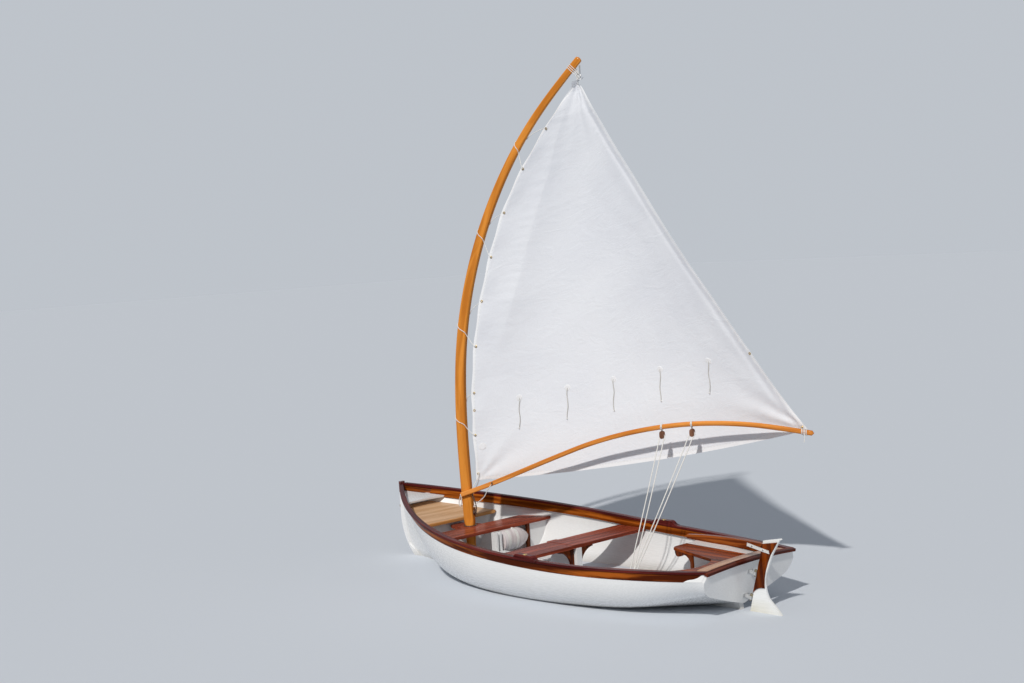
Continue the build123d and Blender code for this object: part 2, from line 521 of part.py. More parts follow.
# Rudder hardware. The pin line runs parallel to the transom, aft of it.
pin_plane = first_plane * Pos(0, 0, -RUDDER_OFFSET - TRANSOM_THICKNESS)
PINTLES = (60.0, 235.0)      # heights up the raked plane from the keel end
PINTLE_LENGTH, GUDGEON_LENGTH, HEAD_LENGTH = 50.0, 24.0, 16.0
gudgeon_solids = []
pintle_solids = []
reach = RUDDER_OFFSET - SEAT_GAP
for v in PINTLES:
    tube = Rot(90, 0, 0) * (Cylinder(PINTLE_RADIUS + 5, GUDGEON_LENGTH)
                            - Cylinder(PINTLE_RADIUS + PINTLE_CLEARANCE, GUDGEON_LENGTH))
    arm_length = reach - PINTLE_RADIUS - 3
    arm = Pos(0, 0, reach - arm_length / 2) * Box(16, 20, arm_length)
    plate = Pos(0, 0, reach - 1.5) * Box(60, 24, 3)
    gudgeon_solids.append(pin_plane * Pos(0, v, 0) * (tube + arm + plate))
    head_middle = GUDGEON_LENGTH / 2 + SEAT_GAP + HEAD_LENGTH / 2
    pin = Pos(0, v + head_middle + HEAD_LENGTH / 2 - PINTLE_LENGTH / 2, 0) * Rot(90, 0, 0) * Cylinder(
        PINTLE_RADIUS, PINTLE_LENGTH)
    head_depth = RUDDER_GAP - SEAT_GAP + PINTLE_RADIUS
    head = Pos(0, v + head_middle, PINTLE_RADIUS - head_depth / 2) * Box(2 * PINTLE_RADIUS + 2, HEAD_LENGTH, head_depth)
    pintle_solids.append(pin_plane * (pin + head))
save(Compound(children=[s for one in gudgeon_solids for s in one.solids()]), "rudder_gudgeons")
save(Compound(children=[s for one in pintle_solids for s in one.solids()]), "rudder_pintles")

# Rudder blade and cheeks, in the XZ plane as lengths forward and heights
rake_run = (STATIONS[0][0] - STATIONS[0][1]) / (sheer0 - keel0)
front_step = (TRANSOM_THICKNESS + RUDDER_OFFSET + RUDDER_GAP) * first_stretch


def rudder_front(height):
    """Length forward of the rudder's front edge, parallel to the transom."""
    return STATIONS[0][1] + (height - keel0) * rake_run - front_step


head_low, head_high = 490, 517
blade_face = make_face(
    Polyline([(place(rudder_front(-130)), -130), (place(rudder_front(head_low)), head_low), (place(-270), head_high),
              (place(-276), 508), (place(-262), 506), (place(-198), 404), (place(-150), 291)])
    + ThreePointArc((place(-150), 291), (place(-128), 195), (place(-155), 98))
    + ThreePointArc((place(-155), 98), (place(-235), 20), (place(-300), -60))
    + Polyline([(place(-300), -60), (place(-345), -300)])
    + ThreePointArc((place(-345), -300), (place(-300), -480), (place(-190), -560))
    + Polyline([(place(-190), -560), (place(-60), -540), (place(rudder_front(-130)), -130)])
)
blade = extrude(Plane.XZ * blade_face, RUDDER_THICKNESS / 2, both=True)
save(blade, "rudder_blade")
cheek_low, cheek_high = 130, 478
cheek_inset = 3.0
cheek_face = make_face(
    Polyline([(place(rudder_front(cheek_low) - cheek_inset), cheek_low),
              (place(rudder_front(cheek_high) - cheek_inset), cheek_high),
              (place(-262), 500), (place(-218), 404), (place(-172), 291)])
    + ThreePointArc((place(-172), 291), (place(-152), 220), (place(-146), 168))
    + ThreePointArc((place(-146), 168), (place(-88), 162), (place(rudder_front(cheek_low) - cheek_inset), cheek_low))
)
for side_name, side in SIDES:
    offset = side * (RUDDER_THICKNESS / 2 + CHEEK_THICKNESS / 2)
    cheek = extrude(Plane.XZ * cheek_face, CHEEK_THICKNESS / 2, both=True)
    save(Pos(0, offset, 0) * cheek, "rudder_cheek_" + side_name)

# Tiller, curved, held by a strap on each side of the rudder head
tiller_low, tiller_high = 430, 470
tiller_aft_low = place(rudder_front(tiller_low) + SEAT_GAP)
tiller_aft_high = place(rudder_front(tiller_high) + SEAT_GAP)
tiller_face = make_face(
    ThreePointArc((tiller_aft_low, tiller_low), (place(200), 428), (place(520), 440))
    + ThreePointArc((place(520), 440), (place(534), 455), (place(520), 468))
    + ThreePointArc((place(520), 468), (place(200), 482), (tiller_aft_high, tiller_high))
    + Line((tiller_aft_high, tiller_high), (tiller_aft_low, tiller_low))
)
head_half = RUDDER_THICKNESS / 2 + CHEEK_THICKNESS
tiller = extrude(Plane.XZ * tiller_face, head_half - SEAT_GAP, both=True)
taper = make_face(Polyline([(place(-200), -head_half), (place(60), -head_half), (place(540), -13), (place(540), 13),
                            (place(60), head_half), (place(-200), head_half)], close=True))
tiller = tiller & (Pos(0, 0, 400) * extrude(taper, 120))
save(tiller, "tiller")
strap_outline = [(-184, 408), (-180, 430), (-4, 466), (0, 444)]
STRAP_THICKNESS = 4.0
strap_solids = []
for side in (1, -1):
    offset = side * (head_half + STRAP_THICKNESS / 2 + SEAT_GAP)
    strap_solids.append(plate_xz(strap_outline, STRAP_THICKNESS, offset))
save(Compound(children=[s for one in strap_solids for s in one.solids()]), "tiller_straps")

# Rig. Its plane turns about the mast's foot: s runs aft along the sail, t to port of it.
rig_turn = math.radians(RIG_ANGLE)
rig_plane = Plane(origin=(place(MAST_PLACE), 0, 0), x_dir=(-math.cos(rig_turn), -math.sin(rig_turn), 0),
                  z_dir=(-math.sin(rig_turn), math.cos(rig_turn), 0))

# Mast sections. Columns: distance aft, height, lean aft in degrees, fore-and-aft size, width.
MAST_SECTIONS = [
    (0, 318, -2.5, 88, 52),
    (-20, 1150, 0, 88, 52),
    (28, 1800, 9.5, 82, 50),
    (187, 2400, 20, 76, 46),
    (461, 2980, 30, 66, 42),
    (790, 3450, 40.5, 58, 38),
    (1205, 3878, 47, 50, 34),
]
MAST_BEVEL = 12.0
mast_wires = []
for aft, height, lean, chord, width in MAST_SECTIONS:
    lean_angle = math.radians(lean)
    along = rig_plane.x_dir * math.sin(lean_angle) + Vector(0, 0, 1) * math.cos(lean_angle)
    across = rig_plane.x_dir * math.cos(lean_angle) - Vector(0, 0, 1) * math.sin(lean_angle)
    middle = rig_plane.from_local_coords(Vector(aft, height, 0))
    section_plane = Plane(origin=middle, x_dir=across, z_dir=along)
    section = Rectangle(chord, width)
    mast_wires.append((section_plane * chamfer(section.vertices(), MAST_BEVEL)).wires()[0])
mast_upper = Solid.make_loft(mast_wires)
stub_top = MAST_SECTIONS[0][1]
stub = Pos(place(MAST_PLACE), 0, (MAST_HEEL + stub_top) / 2) * Cylinder(MAST_STUB_RADIUS, stub_top - MAST_HEEL)
mast = mast_upper + stub
save(mast, "mast")

# Sail: bowed sections from luff to leech, lofted into one thin cambered sheet
# Columns: luff aft, luff height, leech aft, leech height, camber to starboard, drop of the middle.
SAIL_SECTIONS = [
    (100, 680, 2832, 1104, 150, 70),
    (95, 1180, 2520, 1590, 240, 20),
    (170, 1850, 2140, 2190, 235, 0),
    (330, 2420, 1800, 2720, 180, 0),
    (620, 3030, 1480, 3225, 100, 0),
    (1160, 3695, 1182, 3695, 3, 0),
]
SAIL_STRIPS = 8              # straight steps across each section, from luff to leech
sail_wires = []
for luff_s, luff_z, leech_s, leech_z, camber, drop in SAIL_SECTIONS:
    bow_out = Vector(0, -drop, -camber)
    through = bow_out.normalized() * SAIL_THICKNESS
    luff, leech = Vector(luff_s, luff_z), Vector(leech_s, leech_z)
    front = []
    for step in range(SAIL_STRIPS + 1):
        share = step / SAIL_STRIPS
        front.append(luff + (leech - luff) * share + bow_out * (4 * share * (1 - share)))
    back = [point + through for point in reversed(front)]
    sail_wires.append(rig_plane.from_local_coords(Wire.make_polygon(front + back, close=True)))
sail = Solid.make_loft(sail_wires)
save(sail, "sail")

# Shackle between the masthead and the head of the sail
shackle_eye = rig_plane * Pos(1182, 3754, 0) * bar_ring(17, 4)
shackle_pin = rig_plane * Pos(1171, 3716.3, 0) * Rot(90, 0, 0) * Cylinder(5, 42)
shackle_neck = rig_plane * Pos(1193, 3804, 0) * Rot(90, 0, 0) * Cylinder(5, 80)
save(shackle_eye + shackle_pin + (shackle_neck - mast), "masthead_shackle")

# Boom, arched over the foot of the sail, on its port side, with a flat forward end
boom_plane = rig_plane.offset(BOOM_SIDE)
boom_rise = Line((-45, 562), (980, 952))
boom_arch = TangentArc(boom_rise @ 1, (2560, 1116), tangent=boom_rise % 1)
boom_line = boom_rise + boom_arch
boom_end = Line(boom_line @ 1, boom_line @ 1 + (boom_line % 1) * 330)
boom_path = boom_plane * (boom_line + boom_end)
boom_start = Plane(origin=boom_path @ 0, z_dir=boom_path % 0)
boom = sweep(boom_start * Circle(BOOM_RADIUS), path=boom_path)
save(boom, "boom")

# Two small blocks under the boom, and the block on the keelson that the sheet leads down to
BLOCKS = (1725.0, 1965.0)    # distances aft of the mast
BLOCK_NECK = 55.0            # from a block's middle up to the boom


def boom_height(aft):
    """Height of the boom's centreline over a point on its arch."""
    arch = boom_arch.edge()
    return arch.arc_center.Y + math.sqrt(arch.radius ** 2 - (aft - arch.arc_center.X) ** 2)


def sheet_block():
    cheeks = Pos(0, 0, 9) * extrude(SlotOverall(58, 36, rotation=90), 4)
    cheeks = cheeks + Pos(0, 0, -13) * extrude(SlotOverall(58, 36, rotation=90), 4)
    sheave = Cylinder(15, 18)
    crown = Pos(0, 26, 0) * Box(12, 8, 18)
    return cheeks + sheave + crown


block_solids = []
for aft in BLOCKS:
    height = boom_height(aft) - BOOM_RADIUS - SEAT_GAP - BLOCK_NECK
    neck = Pos(0, BLOCK_NECK - 13, 0) * Rot(90, 0, 0) * Cylinder(4, 26)
    block_solids.extend((boom_plane * Pos(aft, height, 0) * (sheet_block() + neck)).solids())
save(Compound(children=block_solids), "boom_blocks")
SHEET_BASE = 1140.0
lower_plate = Pos(place(SHEET_BASE), 0, -80) * Box(60, 40, 26)
lower_block = Plane.XZ * Pos(place(SHEET_BASE), -20, 0) * Rot(0, 0, 180) * sheet_block()
lower_neck = Pos(place(SHEET_BASE), 0, -58) * Cylinder(5, 24)
save((lower_plate & room) + lower_block + lower_neck, "lower_sheet_block")

# Leather collar round the mast on the partner
collar = Pos(place(MAST_PLACE), 0, MAST_THWART_TOP + SEAT_GAP + COLLAR_THICKNESS / 2) * (
    Cylinder(MAST_STUB_RADIUS + 16, COLLAR_THICKNESS) - Cylinder(MAST_STUB_RADIUS + MAST_CLEARANCE, COLLAR_THICKNESS))
save(collar, "mast_collar")
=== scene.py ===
# %% [markdown]
# An open sailing dinghy. The hull is white inside and out, with varnished mahogany along the rail, on the
# seats and on the rudder's head. A tall bent mast carries one soft white sail, and an arched boom holds the
# sail's aft corner out. The CAD model gives every rigid piece at its real size. This lesson gives each its
# finish, and adds what cloth, rope and small fittings need.

# %% Load the frame
import bpy
import math
import numpy as np
from mathutils import Matrix, Vector


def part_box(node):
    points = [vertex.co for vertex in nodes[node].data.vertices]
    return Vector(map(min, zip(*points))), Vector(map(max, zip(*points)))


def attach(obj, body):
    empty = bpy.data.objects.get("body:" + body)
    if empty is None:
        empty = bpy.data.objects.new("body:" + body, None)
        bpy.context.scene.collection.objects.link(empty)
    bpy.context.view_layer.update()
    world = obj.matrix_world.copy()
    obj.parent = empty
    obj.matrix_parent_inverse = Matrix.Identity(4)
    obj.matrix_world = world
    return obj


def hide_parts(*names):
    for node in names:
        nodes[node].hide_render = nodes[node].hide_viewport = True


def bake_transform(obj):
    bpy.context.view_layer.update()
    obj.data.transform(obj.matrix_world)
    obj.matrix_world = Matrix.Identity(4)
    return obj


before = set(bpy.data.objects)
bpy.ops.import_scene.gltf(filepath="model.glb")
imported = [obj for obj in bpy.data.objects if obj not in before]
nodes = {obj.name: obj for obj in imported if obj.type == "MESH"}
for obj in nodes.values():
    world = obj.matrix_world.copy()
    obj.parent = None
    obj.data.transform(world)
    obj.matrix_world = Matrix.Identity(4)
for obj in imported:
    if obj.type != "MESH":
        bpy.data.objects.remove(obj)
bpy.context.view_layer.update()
scene = bpy.context.scene

# %% [markdown]
# The photograph was taken from another boat, off the port quarter, while the dinghy leaned to port. Here the
# boat stands upright on its waterline, so the lean and the bow's lift go into the camera: it is tipped and
# turned by the same small angles. That keeps the picture's outline, and the boat stays true in other views.

# %% Camera
CAMERA_PLACE = Vector((-8.317, 8.107, 2.581))
CAMERA_FORWARD = Vector((0.72927, -0.68100, -0.06634))
CAMERA_UP = Vector((0.00835, -0.08810, 0.99608))
FOCAL_LENGTH = 54.74

camera_data = bpy.data.cameras.new("camera")
camera_data.lens = FOCAL_LENGTH
camera_data.sensor_width = 36.0
camera_data.clip_end = 200.0
camera = bpy.data.objects.new("camera", camera_data)
scene.collection.objects.link(camera)
camera_right = CAMERA_FORWARD.cross(CAMERA_UP).normalized()
camera_up = camera_right.cross(CAMERA_FORWARD).normalized()
camera_turn = Matrix((camera_right, camera_up, -CAMERA_FORWARD.normalized())).transposed()
camera.matrix_world = Matrix.Translation(CAMERA_PLACE) @ camera_turn.to_4x4()
scene.camera = camera
print("camera", [round(math.degrees(a), 2) for a in camera.matrix_world.to_euler()])

# %% [markdown]
# Materials, and the light round the boat, are made of a few kinds of node. A handful of small helpers keeps
# them readable. One adds a node and fills its sockets with numbers or with other nodes' outputs. Another
# starts a shader group, which is a recipe with named inputs that several materials share.

# %% Node helpers
def feed(node, sockets):
    """Set a node's sockets to values, or join other nodes' outputs to them."""
    for key, value in sockets.items():
        if isinstance(value, bpy.types.NodeSocket):
            node.id_data.links.new(value, node.inputs[key])
        else:
            node.inputs[key].default_value = value
    return node


def add(tree, kind, sockets=None, **settings):
    """A shader node with its settings and its sockets."""
    made = tree.nodes.new("ShaderNode" + kind)
    for key, value in settings.items():
        setattr(made, key, value)
    return feed(made, sockets or {})


def put(tree, group, sockets):
    """A group placed in a material's tree, with values for its inputs."""
    return feed(add(tree, "Group", node_tree=group), sockets)


def new_group(name, inputs, outputs):
    """An empty shader group with its named sockets: (label, kind, default) in, (label, kind) out."""
    tree = bpy.data.node_groups.new(name, "ShaderNodeTree")
    for label, kind, value in inputs:
        socket = tree.interface.new_socket(label, in_out="INPUT", socket_type="NodeSocket" + kind)
        if value is not None:
            socket.default_value = value
    for label, kind in outputs:
        tree.interface.new_socket(label, in_out="OUTPUT", socket_type="NodeSocket" + kind)
    return tree, tree.nodes.new("NodeGroupInput").outputs, tree.nodes.new("NodeGroupOutput")


def maths(operation, first, second=0.0):
    """One sum on two values. The first is another node's output and says which tree this is."""
    return add(first.id_data, "Math", {0: first, 1: second}, operation=operation).outputs[0]


def plus(first, second):
    return maths("ADD", first, second)


def minus(first, second):
    return maths("SUBTRACT", first, second)


def times(first, second):
    return maths("MULTIPLY", first, second)


def spread(value, low, high, to_low=0.0, to_high=1.0, kind="SMOOTHSTEP"):
    """A value between low and high mapped to another span, smoothly or in a straight line."""
    sockets = {0: value, 1: low, 2: high, 3: to_low, 4: to_high}
    return add(value.id_data, "MapRange", sockets, interpolation_type=kind).outputs[0]


def blend_colours(factor, first, second):
    return add(factor.id_data, "Mix", {0: factor, 6: first, 7: second}, data_type="RGBA").outputs[2]


def stretch(vector, factors):
    """A vector with its three parts multiplied, which draws a pattern out along one axis."""
    return add(vector.id_data, "VectorMath", {0: vector, 1: factors}, operation="MULTIPLY").outputs[0]


def split(vector):
    return add(vector.id_data, "SeparateXYZ", {0: vector}).outputs


def turn(vector, x=0.0, y=0.0, z=0.0):
    return add(vector.id_data, "Mapping", {"Vector": vector, "Rotation": (x, y, z)}).outputs[0]


def noise(vector, scale, detail, **more):
    sockets = {"Vector": vector, "Scale": scale, "Detail": detail, **more}
    return add(vector.id_data, "TexNoise", sockets).outputs[0]


def bands(vector, direction, scale, **more):
    sockets = {"Vector": vector, "Scale": scale, **more}
    made = add(vector.id_data, "TexWave", sockets, wave_type="BANDS", bands_direction=direction)
    return made.outputs["Fac"]


# %% [markdown]
# The floor lies at the waterline, at the height of zero, and shows nothing but a pale grey. A curved sweep
# behind the boat would do for one view, but the boat is looked at from all sides. So the world itself gives
# the backdrop, and only the camera and glossy rays see that colour. The sun is a soft one, off the port
# quarter. Its direction comes from the shadows of the mast on the rail and of the blocks on the sail.

# %% Floor, backdrop and lights
BACKDROP = (0.516, 0.549, 0.594, 1.0)
FLOOR_COLOUR = (0.66, 0.70, 0.76, 1.0)
AMBIENT = (0.88, 0.93, 1.0, 1.0)
AMBIENT_STRENGTH = 0.33
SUN_STRENGTH = 2.45
SUN_COLOUR = (1.0, 0.965, 0.91)
SUN_FROM = Vector((-0.38, 0.80, 0.74))
SUN_SOFTNESS = math.radians(2)
FLOOR_SIZE = 160.0


def make_world():
    world = bpy.data.worlds.new("studio")
    scene.world = world
    world.use_nodes = True
    tree = world.node_tree
    tree.nodes.clear()
    light = add(tree, "Background", {"Color": AMBIENT, "Strength": AMBIENT_STRENGTH})
    seen = add(tree, "Background", {"Color": BACKDROP})
    ray = add(tree, "LightPath").outputs
    either = maths("MAXIMUM", ray["Is Camera Ray"], ray["Is Glossy Ray"])
    mix = add(tree, "MixShader", {0: either, 1: light.outputs[0], 2: seen.outputs[0]})
    add(tree, "OutputWorld", {"Surface": mix.outputs[0]})


def make_floor():
    mesh, half = bpy.data.meshes.new("floor"), FLOOR_SIZE / 2
    corners = [(-half, -half, 0), (half, -half, 0), (half, half, 0), (-half, half, 0)]
    mesh.from_pydata(corners, [], [(0, 1, 2, 3)])
    floor = bpy.data.objects.new("floor", mesh)
    scene.collection.objects.link(floor)
    material = bpy.data.materials.new("floor_plain")
    material.use_nodes = True
    feed(material.node_tree.nodes["Principled BSDF"],
         {"Base Color": FLOOR_COLOUR, "Roughness": 0.9, "Specular IOR Level": 0.1})
    mesh.materials.append(material)


def make_sun():
    data = bpy.data.lights.new("sun", "SUN")
    data.energy = SUN_STRENGTH
    data.color = SUN_COLOUR
    data.angle = SUN_SOFTNESS
    sun = bpy.data.objects.new("sun", data)
    sun.rotation_euler = SUN_FROM.to_track_quat("Z", "Y").to_euler()
    scene.collection.objects.link(sun)


make_world()
make_floor()
make_sun()
scene.view_settings.view_transform = "Standard"
print("sun from", [round(v, 2) for v in SUN_FROM.normalized()])

# %% [markdown]
# Wood is long streaks. A noise that is stretched along one axis gives them, whatever the piece. The group
# takes the direction of the grain as the vector's first axis, and two colours. A slow noise mixes them, a
# wave adds the ribbon stripes of mahogany, and a fine noise makes the pores, which also feed bump and gloss.

# %% Wood grain group
WOOD, wood_in, wood_out = new_group(
    "wood_grain",
    [("Vector", "Vector", None), ("Light", "Color", (0.3, 0.1, 0.03, 1)),
     ("Dark", "Color", (0.1, 0.02, 0.01, 1)), ("Stripes", "Float", 9.0), ("Ribbon", "Float", 0.5)],
    [("Color", "Color"), ("Height", "Float"), ("Roughness", "Float")],
)
grain = wood_in["Vector"]
slow = noise(stretch(grain, (1.1, 17.0, 17.0)), 1.4, 4.0, Roughness=0.55, Distortion=0.7)
wave = bands(stretch(grain, (0.05, 1.0, 1.0)), "DIAGONAL", wood_in["Stripes"],
             **{"Distortion": 5.0, "Detail": 3.0, "Detail Scale": 1.2})
pores = noise(stretch(grain, (14.0, 420.0, 420.0)), 1.0, 2.0, Roughness=0.6)
mixed = plus(spread(slow, 0.32, 0.68), times(wave, wood_in["Ribbon"]))
tinted = blend_colours(spread(mixed, 0.15, 1.25), wood_in["Light"], wood_in["Dark"])
pore_mask = spread(pores, 0.56, 0.72)
shaded = blend_colours(times(pore_mask, 0.35), tinted, wood_in["Dark"])
bare = add(WOOD, "Math", {0: 1.0, 1: pore_mask}, operation="SUBTRACT").outputs[0]
feed(wood_out, {"Color": shaded, "Height": bare, "Roughness": spread(pores, 0.3, 0.75, 0.20, 0.34)})
print("wood grain group", len(WOOD.nodes), "nodes")

# %% [markdown]
# The strips along the rail bend with the hull, so a plain grain along the boat would cut across them at the
# bow. This group bends the coordinates instead: two curves hold the half breadth and the height of the sheer,
# and what is left after them is the distance out from the rail and the depth below it.

# %% Coordinates that follow the sheer
LENGTH = 3.66
# Columns: length from the transom, half breadth at the sheer, height of the sheer.
SHEER = [(0.0, 0.454, 0.349), (0.2, 0.527, 0.341), (0.45, 0.600, 0.333), (1.0, 0.715, 0.329),
         (1.6, 0.757, 0.346), (2.2, 0.727, 0.389), (2.75, 0.571, 0.450), (3.2, 0.341, 0.515),
         (3.48, 0.146, 0.564), (3.66, 0.026, 0.595)]
ALONG_SHEER, sheer_in, sheer_out = new_group(
    "along_sheer", [("Vector", "Vector", None)], [("Vector", "Vector")])
along, out, up = split(sheer_in["Vector"])
share = spread(along, -LENGTH / 2, LENGTH / 2, kind="LINEAR")


def sheer_curve(column):
    """A curve node through one column of the sheer's table."""
    made = add(ALONG_SHEER, "FloatCurve", {"Factor": 1.0, "Value": share})
    curve = made.mapping.curves[0]
    curve.points[0].location = (0.0, SHEER[0][column])
    curve.points[1].location = (1.0, SHEER[-1][column])
    for row in SHEER[1:-1]:
        curve.points.new(row[0] / LENGTH, row[column])
    made.mapping.update()
    return made.outputs[0]


out_from_rail = minus(maths("ABSOLUTE", out), sheer_curve(1))
followed = add(ALONG_SHEER, "CombineXYZ", {0: along, 1: out_from_rail, 2: minus(up, sheer_curve(2))})
feed(sheer_out, {"Vector": followed.outputs[0]})
print("sheer curves through", len(SHEER), "stations")

# %% [markdown]
# Three more recipes. Paint is smooth but never perfectly even: it has a faint cloudiness, a little orange
# peel, and a painted reflection of water and shade that darkens it towards the waterline. Laid rope is three
# strands that wind round each other, so its pattern is a sine of the way round plus the way along, with a
# painted shade in the grooves between them. Wear makes metal and leather cloudy and scratched.

# %% Paint, rope and wear groups
PAINT, paint_in, paint_out = new_group(
    "brushed_paint",
    [("Vector", "Vector", None), ("Paint", "Color", (0.8, 0.8, 0.8, 1)),
     ("Tint and water reflection", "Color", (0.5, 0.45, 0.35, 1)), ("Water reflection height", "Float", 0.06)],
    [("Color", "Color"), ("Height", "Float"), ("Roughness", "Float")],
)
place = paint_in["Vector"]
cloud = noise(place, 2.6, 3.0)
peel = noise(place, 110.0, 1.0)
brush = noise(stretch(place, (4.0, 60.0, 60.0)), 3.0, 2.0)
# Painted reflection of water and shade: below a height the paint darkens towards the waterline, in clouded
# patches.
water_reflection_share = spread(split(place)[2], paint_in["Water reflection height"], 0.0, kind="LINEAR")
cloud_and_reflection = times(water_reflection_share, spread(cloud, 0.3, 0.7, 0.25, 0.8))
clouded = blend_colours(spread(cloud, 0.3, 0.7, 0.0, 0.07), paint_in["Paint"], paint_in["Tint and water reflection"])
feed(paint_out, {"Color": blend_colours(cloud_and_reflection, clouded, paint_in["Tint and water reflection"]),
                 "Height": plus(times(peel, 0.5), brush), "Roughness": spread(brush, 0.3, 0.7, 0.22, 0.32)})

ROPE, rope_in, rope_out = new_group(
    "laid_rope",
    [("Vector", "Vector", None), ("Yarn", "Color", (0.8, 0.8, 0.75, 1)),
     ("Groove shade", "Color", (0.3, 0.28, 0.25, 1))],
    [("Color", "Color"), ("Height", "Float")],
)
STRANDS, LAY = 3, 38         # strands in a rope, and the turns that each makes in a metre
round_share, metres = split(rope_in["Vector"])[:2]
wound = plus(times(round_share, 6.2832 * STRANDS), times(metres, 6.2832 * LAY))
strand = maths("ABSOLUTE", maths("SINE", times(wound, 0.5)))
fibres = noise(rope_in["Vector"], 260.0, 1.0)
# Painted shade: the grooves between the strands get the darker colour.
feed(rope_out, {"Color": blend_colours(spread(strand, 0.45, 0.0), rope_in["Yarn"], rope_in["Groove shade"]),
                "Height": plus(strand, times(fibres, 0.2))})

WEAR, wear_in, wear_out = new_group(
    "cloudy_wear",
    [("Vector", "Vector", None), ("Fresh", "Color", (0.6, 0.6, 0.6, 1)),
     ("Worn", "Color", (0.4, 0.4, 0.4, 1)), ("Grain", "Float", 60.0)],
    [("Color", "Color"), ("Height", "Float"), ("Roughness", "Float")],
)
spots = noise(wear_in["Vector"], wear_in["Grain"], 4.0)
fine = add(WEAR, "TexVoronoi", {"Vector": wear_in["Vector"], "Scale": 420.0}).outputs[0]
feed(wear_out, {"Color": blend_colours(spread(spots, 0.38, 0.66), wear_in["Fresh"], wear_in["Worn"]),
                "Height": plus(spots, times(fine, 0.3)), "Roughness": spread(spots, 0.3, 0.7, 0.24, 0.46)})
print("groups", [group.name for group in bpy.data.node_groups])

# %% [markdown]
# Each finish is now one short call. Varnish is a wood grain under a clear coat: the coat gives the sharp
# highlight, and the wood below stays deep. The grain's direction comes from turning the coordinates, so a
# seat that runs across the boat has its streaks across it. Paint, rope, metal and leather follow the same
# pattern with their own groups.

# %% Finishes
def start_material(name, bump_distance, bump_strength):
    """A material with its shader, and a bump node that waits for a height."""
    material = bpy.data.materials.new(name)
    material.use_nodes = True
    tree = material.node_tree
    bump = add(tree, "Bump", {"Distance": bump_distance, "Strength": bump_strength})
    return material, tree, feed(tree.nodes["Principled BSDF"], {"Normal": bump.outputs[0]}), bump


def finish_with(group, shader, bump, **constants):
    """Join a group's results to a shader, and set the shader's other sockets."""
    results = group.outputs
    feed(bump, {"Height": results["Height"]})
    feed(shader, {"Base Color": results["Color"]})
    if "Roughness" in results:
        feed(shader, {"Roughness": results["Roughness"]})
    feed(shader, {label.replace("_", " "): value for label, value in constants.items()})


def object_place(tree):
    return add(tree, "TexCoord").outputs["Object"]


def cloth_map(tree):
    return add(tree, "UVMap", uv_map="cloth").outputs[0]


QUARTER = math.pi / 2
GRAIN_TURNS = {"X": {}, "RAIL": {}, "Y": {"z": QUARTER}, "UV": {"z": QUARTER}, "Z": {"y": QUARTER}}


def varnish(name, light, dark, grain="X", stripes=9.0, ribbon=0.5, coat=0.15, mirror=0.04):
    """Varnished wood. grain is the axis of the streaks, or RAIL for the sheer, or UV for bent pieces."""
    material, tree, shader, bump = start_material(name, 0.0004, 0.25)
    vector = cloth_map(tree) if grain == "UV" else object_place(tree)
    if grain == "RAIL":
        vector = put(tree, ALONG_SHEER, {"Vector": vector}).outputs[0]
    if GRAIN_TURNS[grain]:
        vector = turn(vector, **GRAIN_TURNS[grain])
    group = put(tree, WOOD, {"Vector": vector, "Light": (*light, 1), "Dark": (*dark, 1), "Stripes": stripes,
                             "Ribbon": ribbon})
    finish_with(group, shader, bump, Specular_IOR_Level=mirror, Coat_Weight=coat, Coat_Roughness=0.10)
    return material


# The second colour gives the paint a faint cloudy tint, and is also a painted reflection of water and shade
# near the waterline.
def painted(name, paint, cloud_and_reflection, reflection_height=0.06):
    material, tree, shader, bump = start_material(name, 0.0006, 0.12)
    group = put(tree, PAINT, {"Vector": object_place(tree), "Paint": (*paint, 1), "Tint and water reflection": (*cloud_and_reflection, 1),
                              "Water reflection height": reflection_height})
    finish_with(group, shader, bump, Specular_IOR_Level=0.4, Coat_Weight=0.3, Coat_Roughness=0.12)
    return material


def roped(name, yarn, groove_shade, cord_length=None):
    """Laid rope on a mesh with its own map, or on a curve, whose map runs from 0 to 1 along its length."""
    material, tree, shader, bump = start_material(name, 0.0012, 0.7)
    vector = cloth_map(tree)
    if cord_length:
        along_curve, round_curve = split(add(tree, "TexCoord").outputs["UV"])[:2]
        vector = add(tree, "CombineXYZ", {0: round_curve, 1: times(along_curve, cord_length)}).outputs[0]
    group = put(tree, ROPE, {"Vector": vector, "Yarn": (*yarn, 1), "Groove shade": (*groove_shade, 1)})
    finish_with(group, shader, bump, Roughness=0.8, Sheen_Weight=0.15)
    return material


def worn(name, fresh, old, metallic=0.0, grain=60.0, bump_distance=0.0003, bump_strength=0.25):
    material, tree, shader, bump = start_material(name, bump_distance, bump_strength)
    group = put(tree, WEAR, {"Vector": object_place(tree), "Fresh": (*fresh, 1), "Worn": (*old, 1),
                             "Grain": grain})
    finish_with(group, shader, bump, Metallic=metallic)
    return material


print("kinds of finish", [kind.__name__ for kind in (varnish, painted, roped, worn)])

# %% [markdown]
# The boat's colours. Mahogany isn't one colour here: the cap on the rail is a deep red with a purple tint,
# which is a painted reflection of the sky, the broad strake below it is orange-brown with dark stripes, and
# the seats are redder. The spars are lighter woods, honey for the mast and orange for the boom.

# %% The boat's finishes
# The second colour of each paint is also its painted reflection of water and shade near the waterline.
hull_white = painted("hull_white", (0.80, 0.805, 0.81), (0.44, 0.42, 0.38))
blade_white = painted("blade_white", (0.86, 0.87, 0.87), (0.62, 0.58, 0.45), reflection_height=0.10)
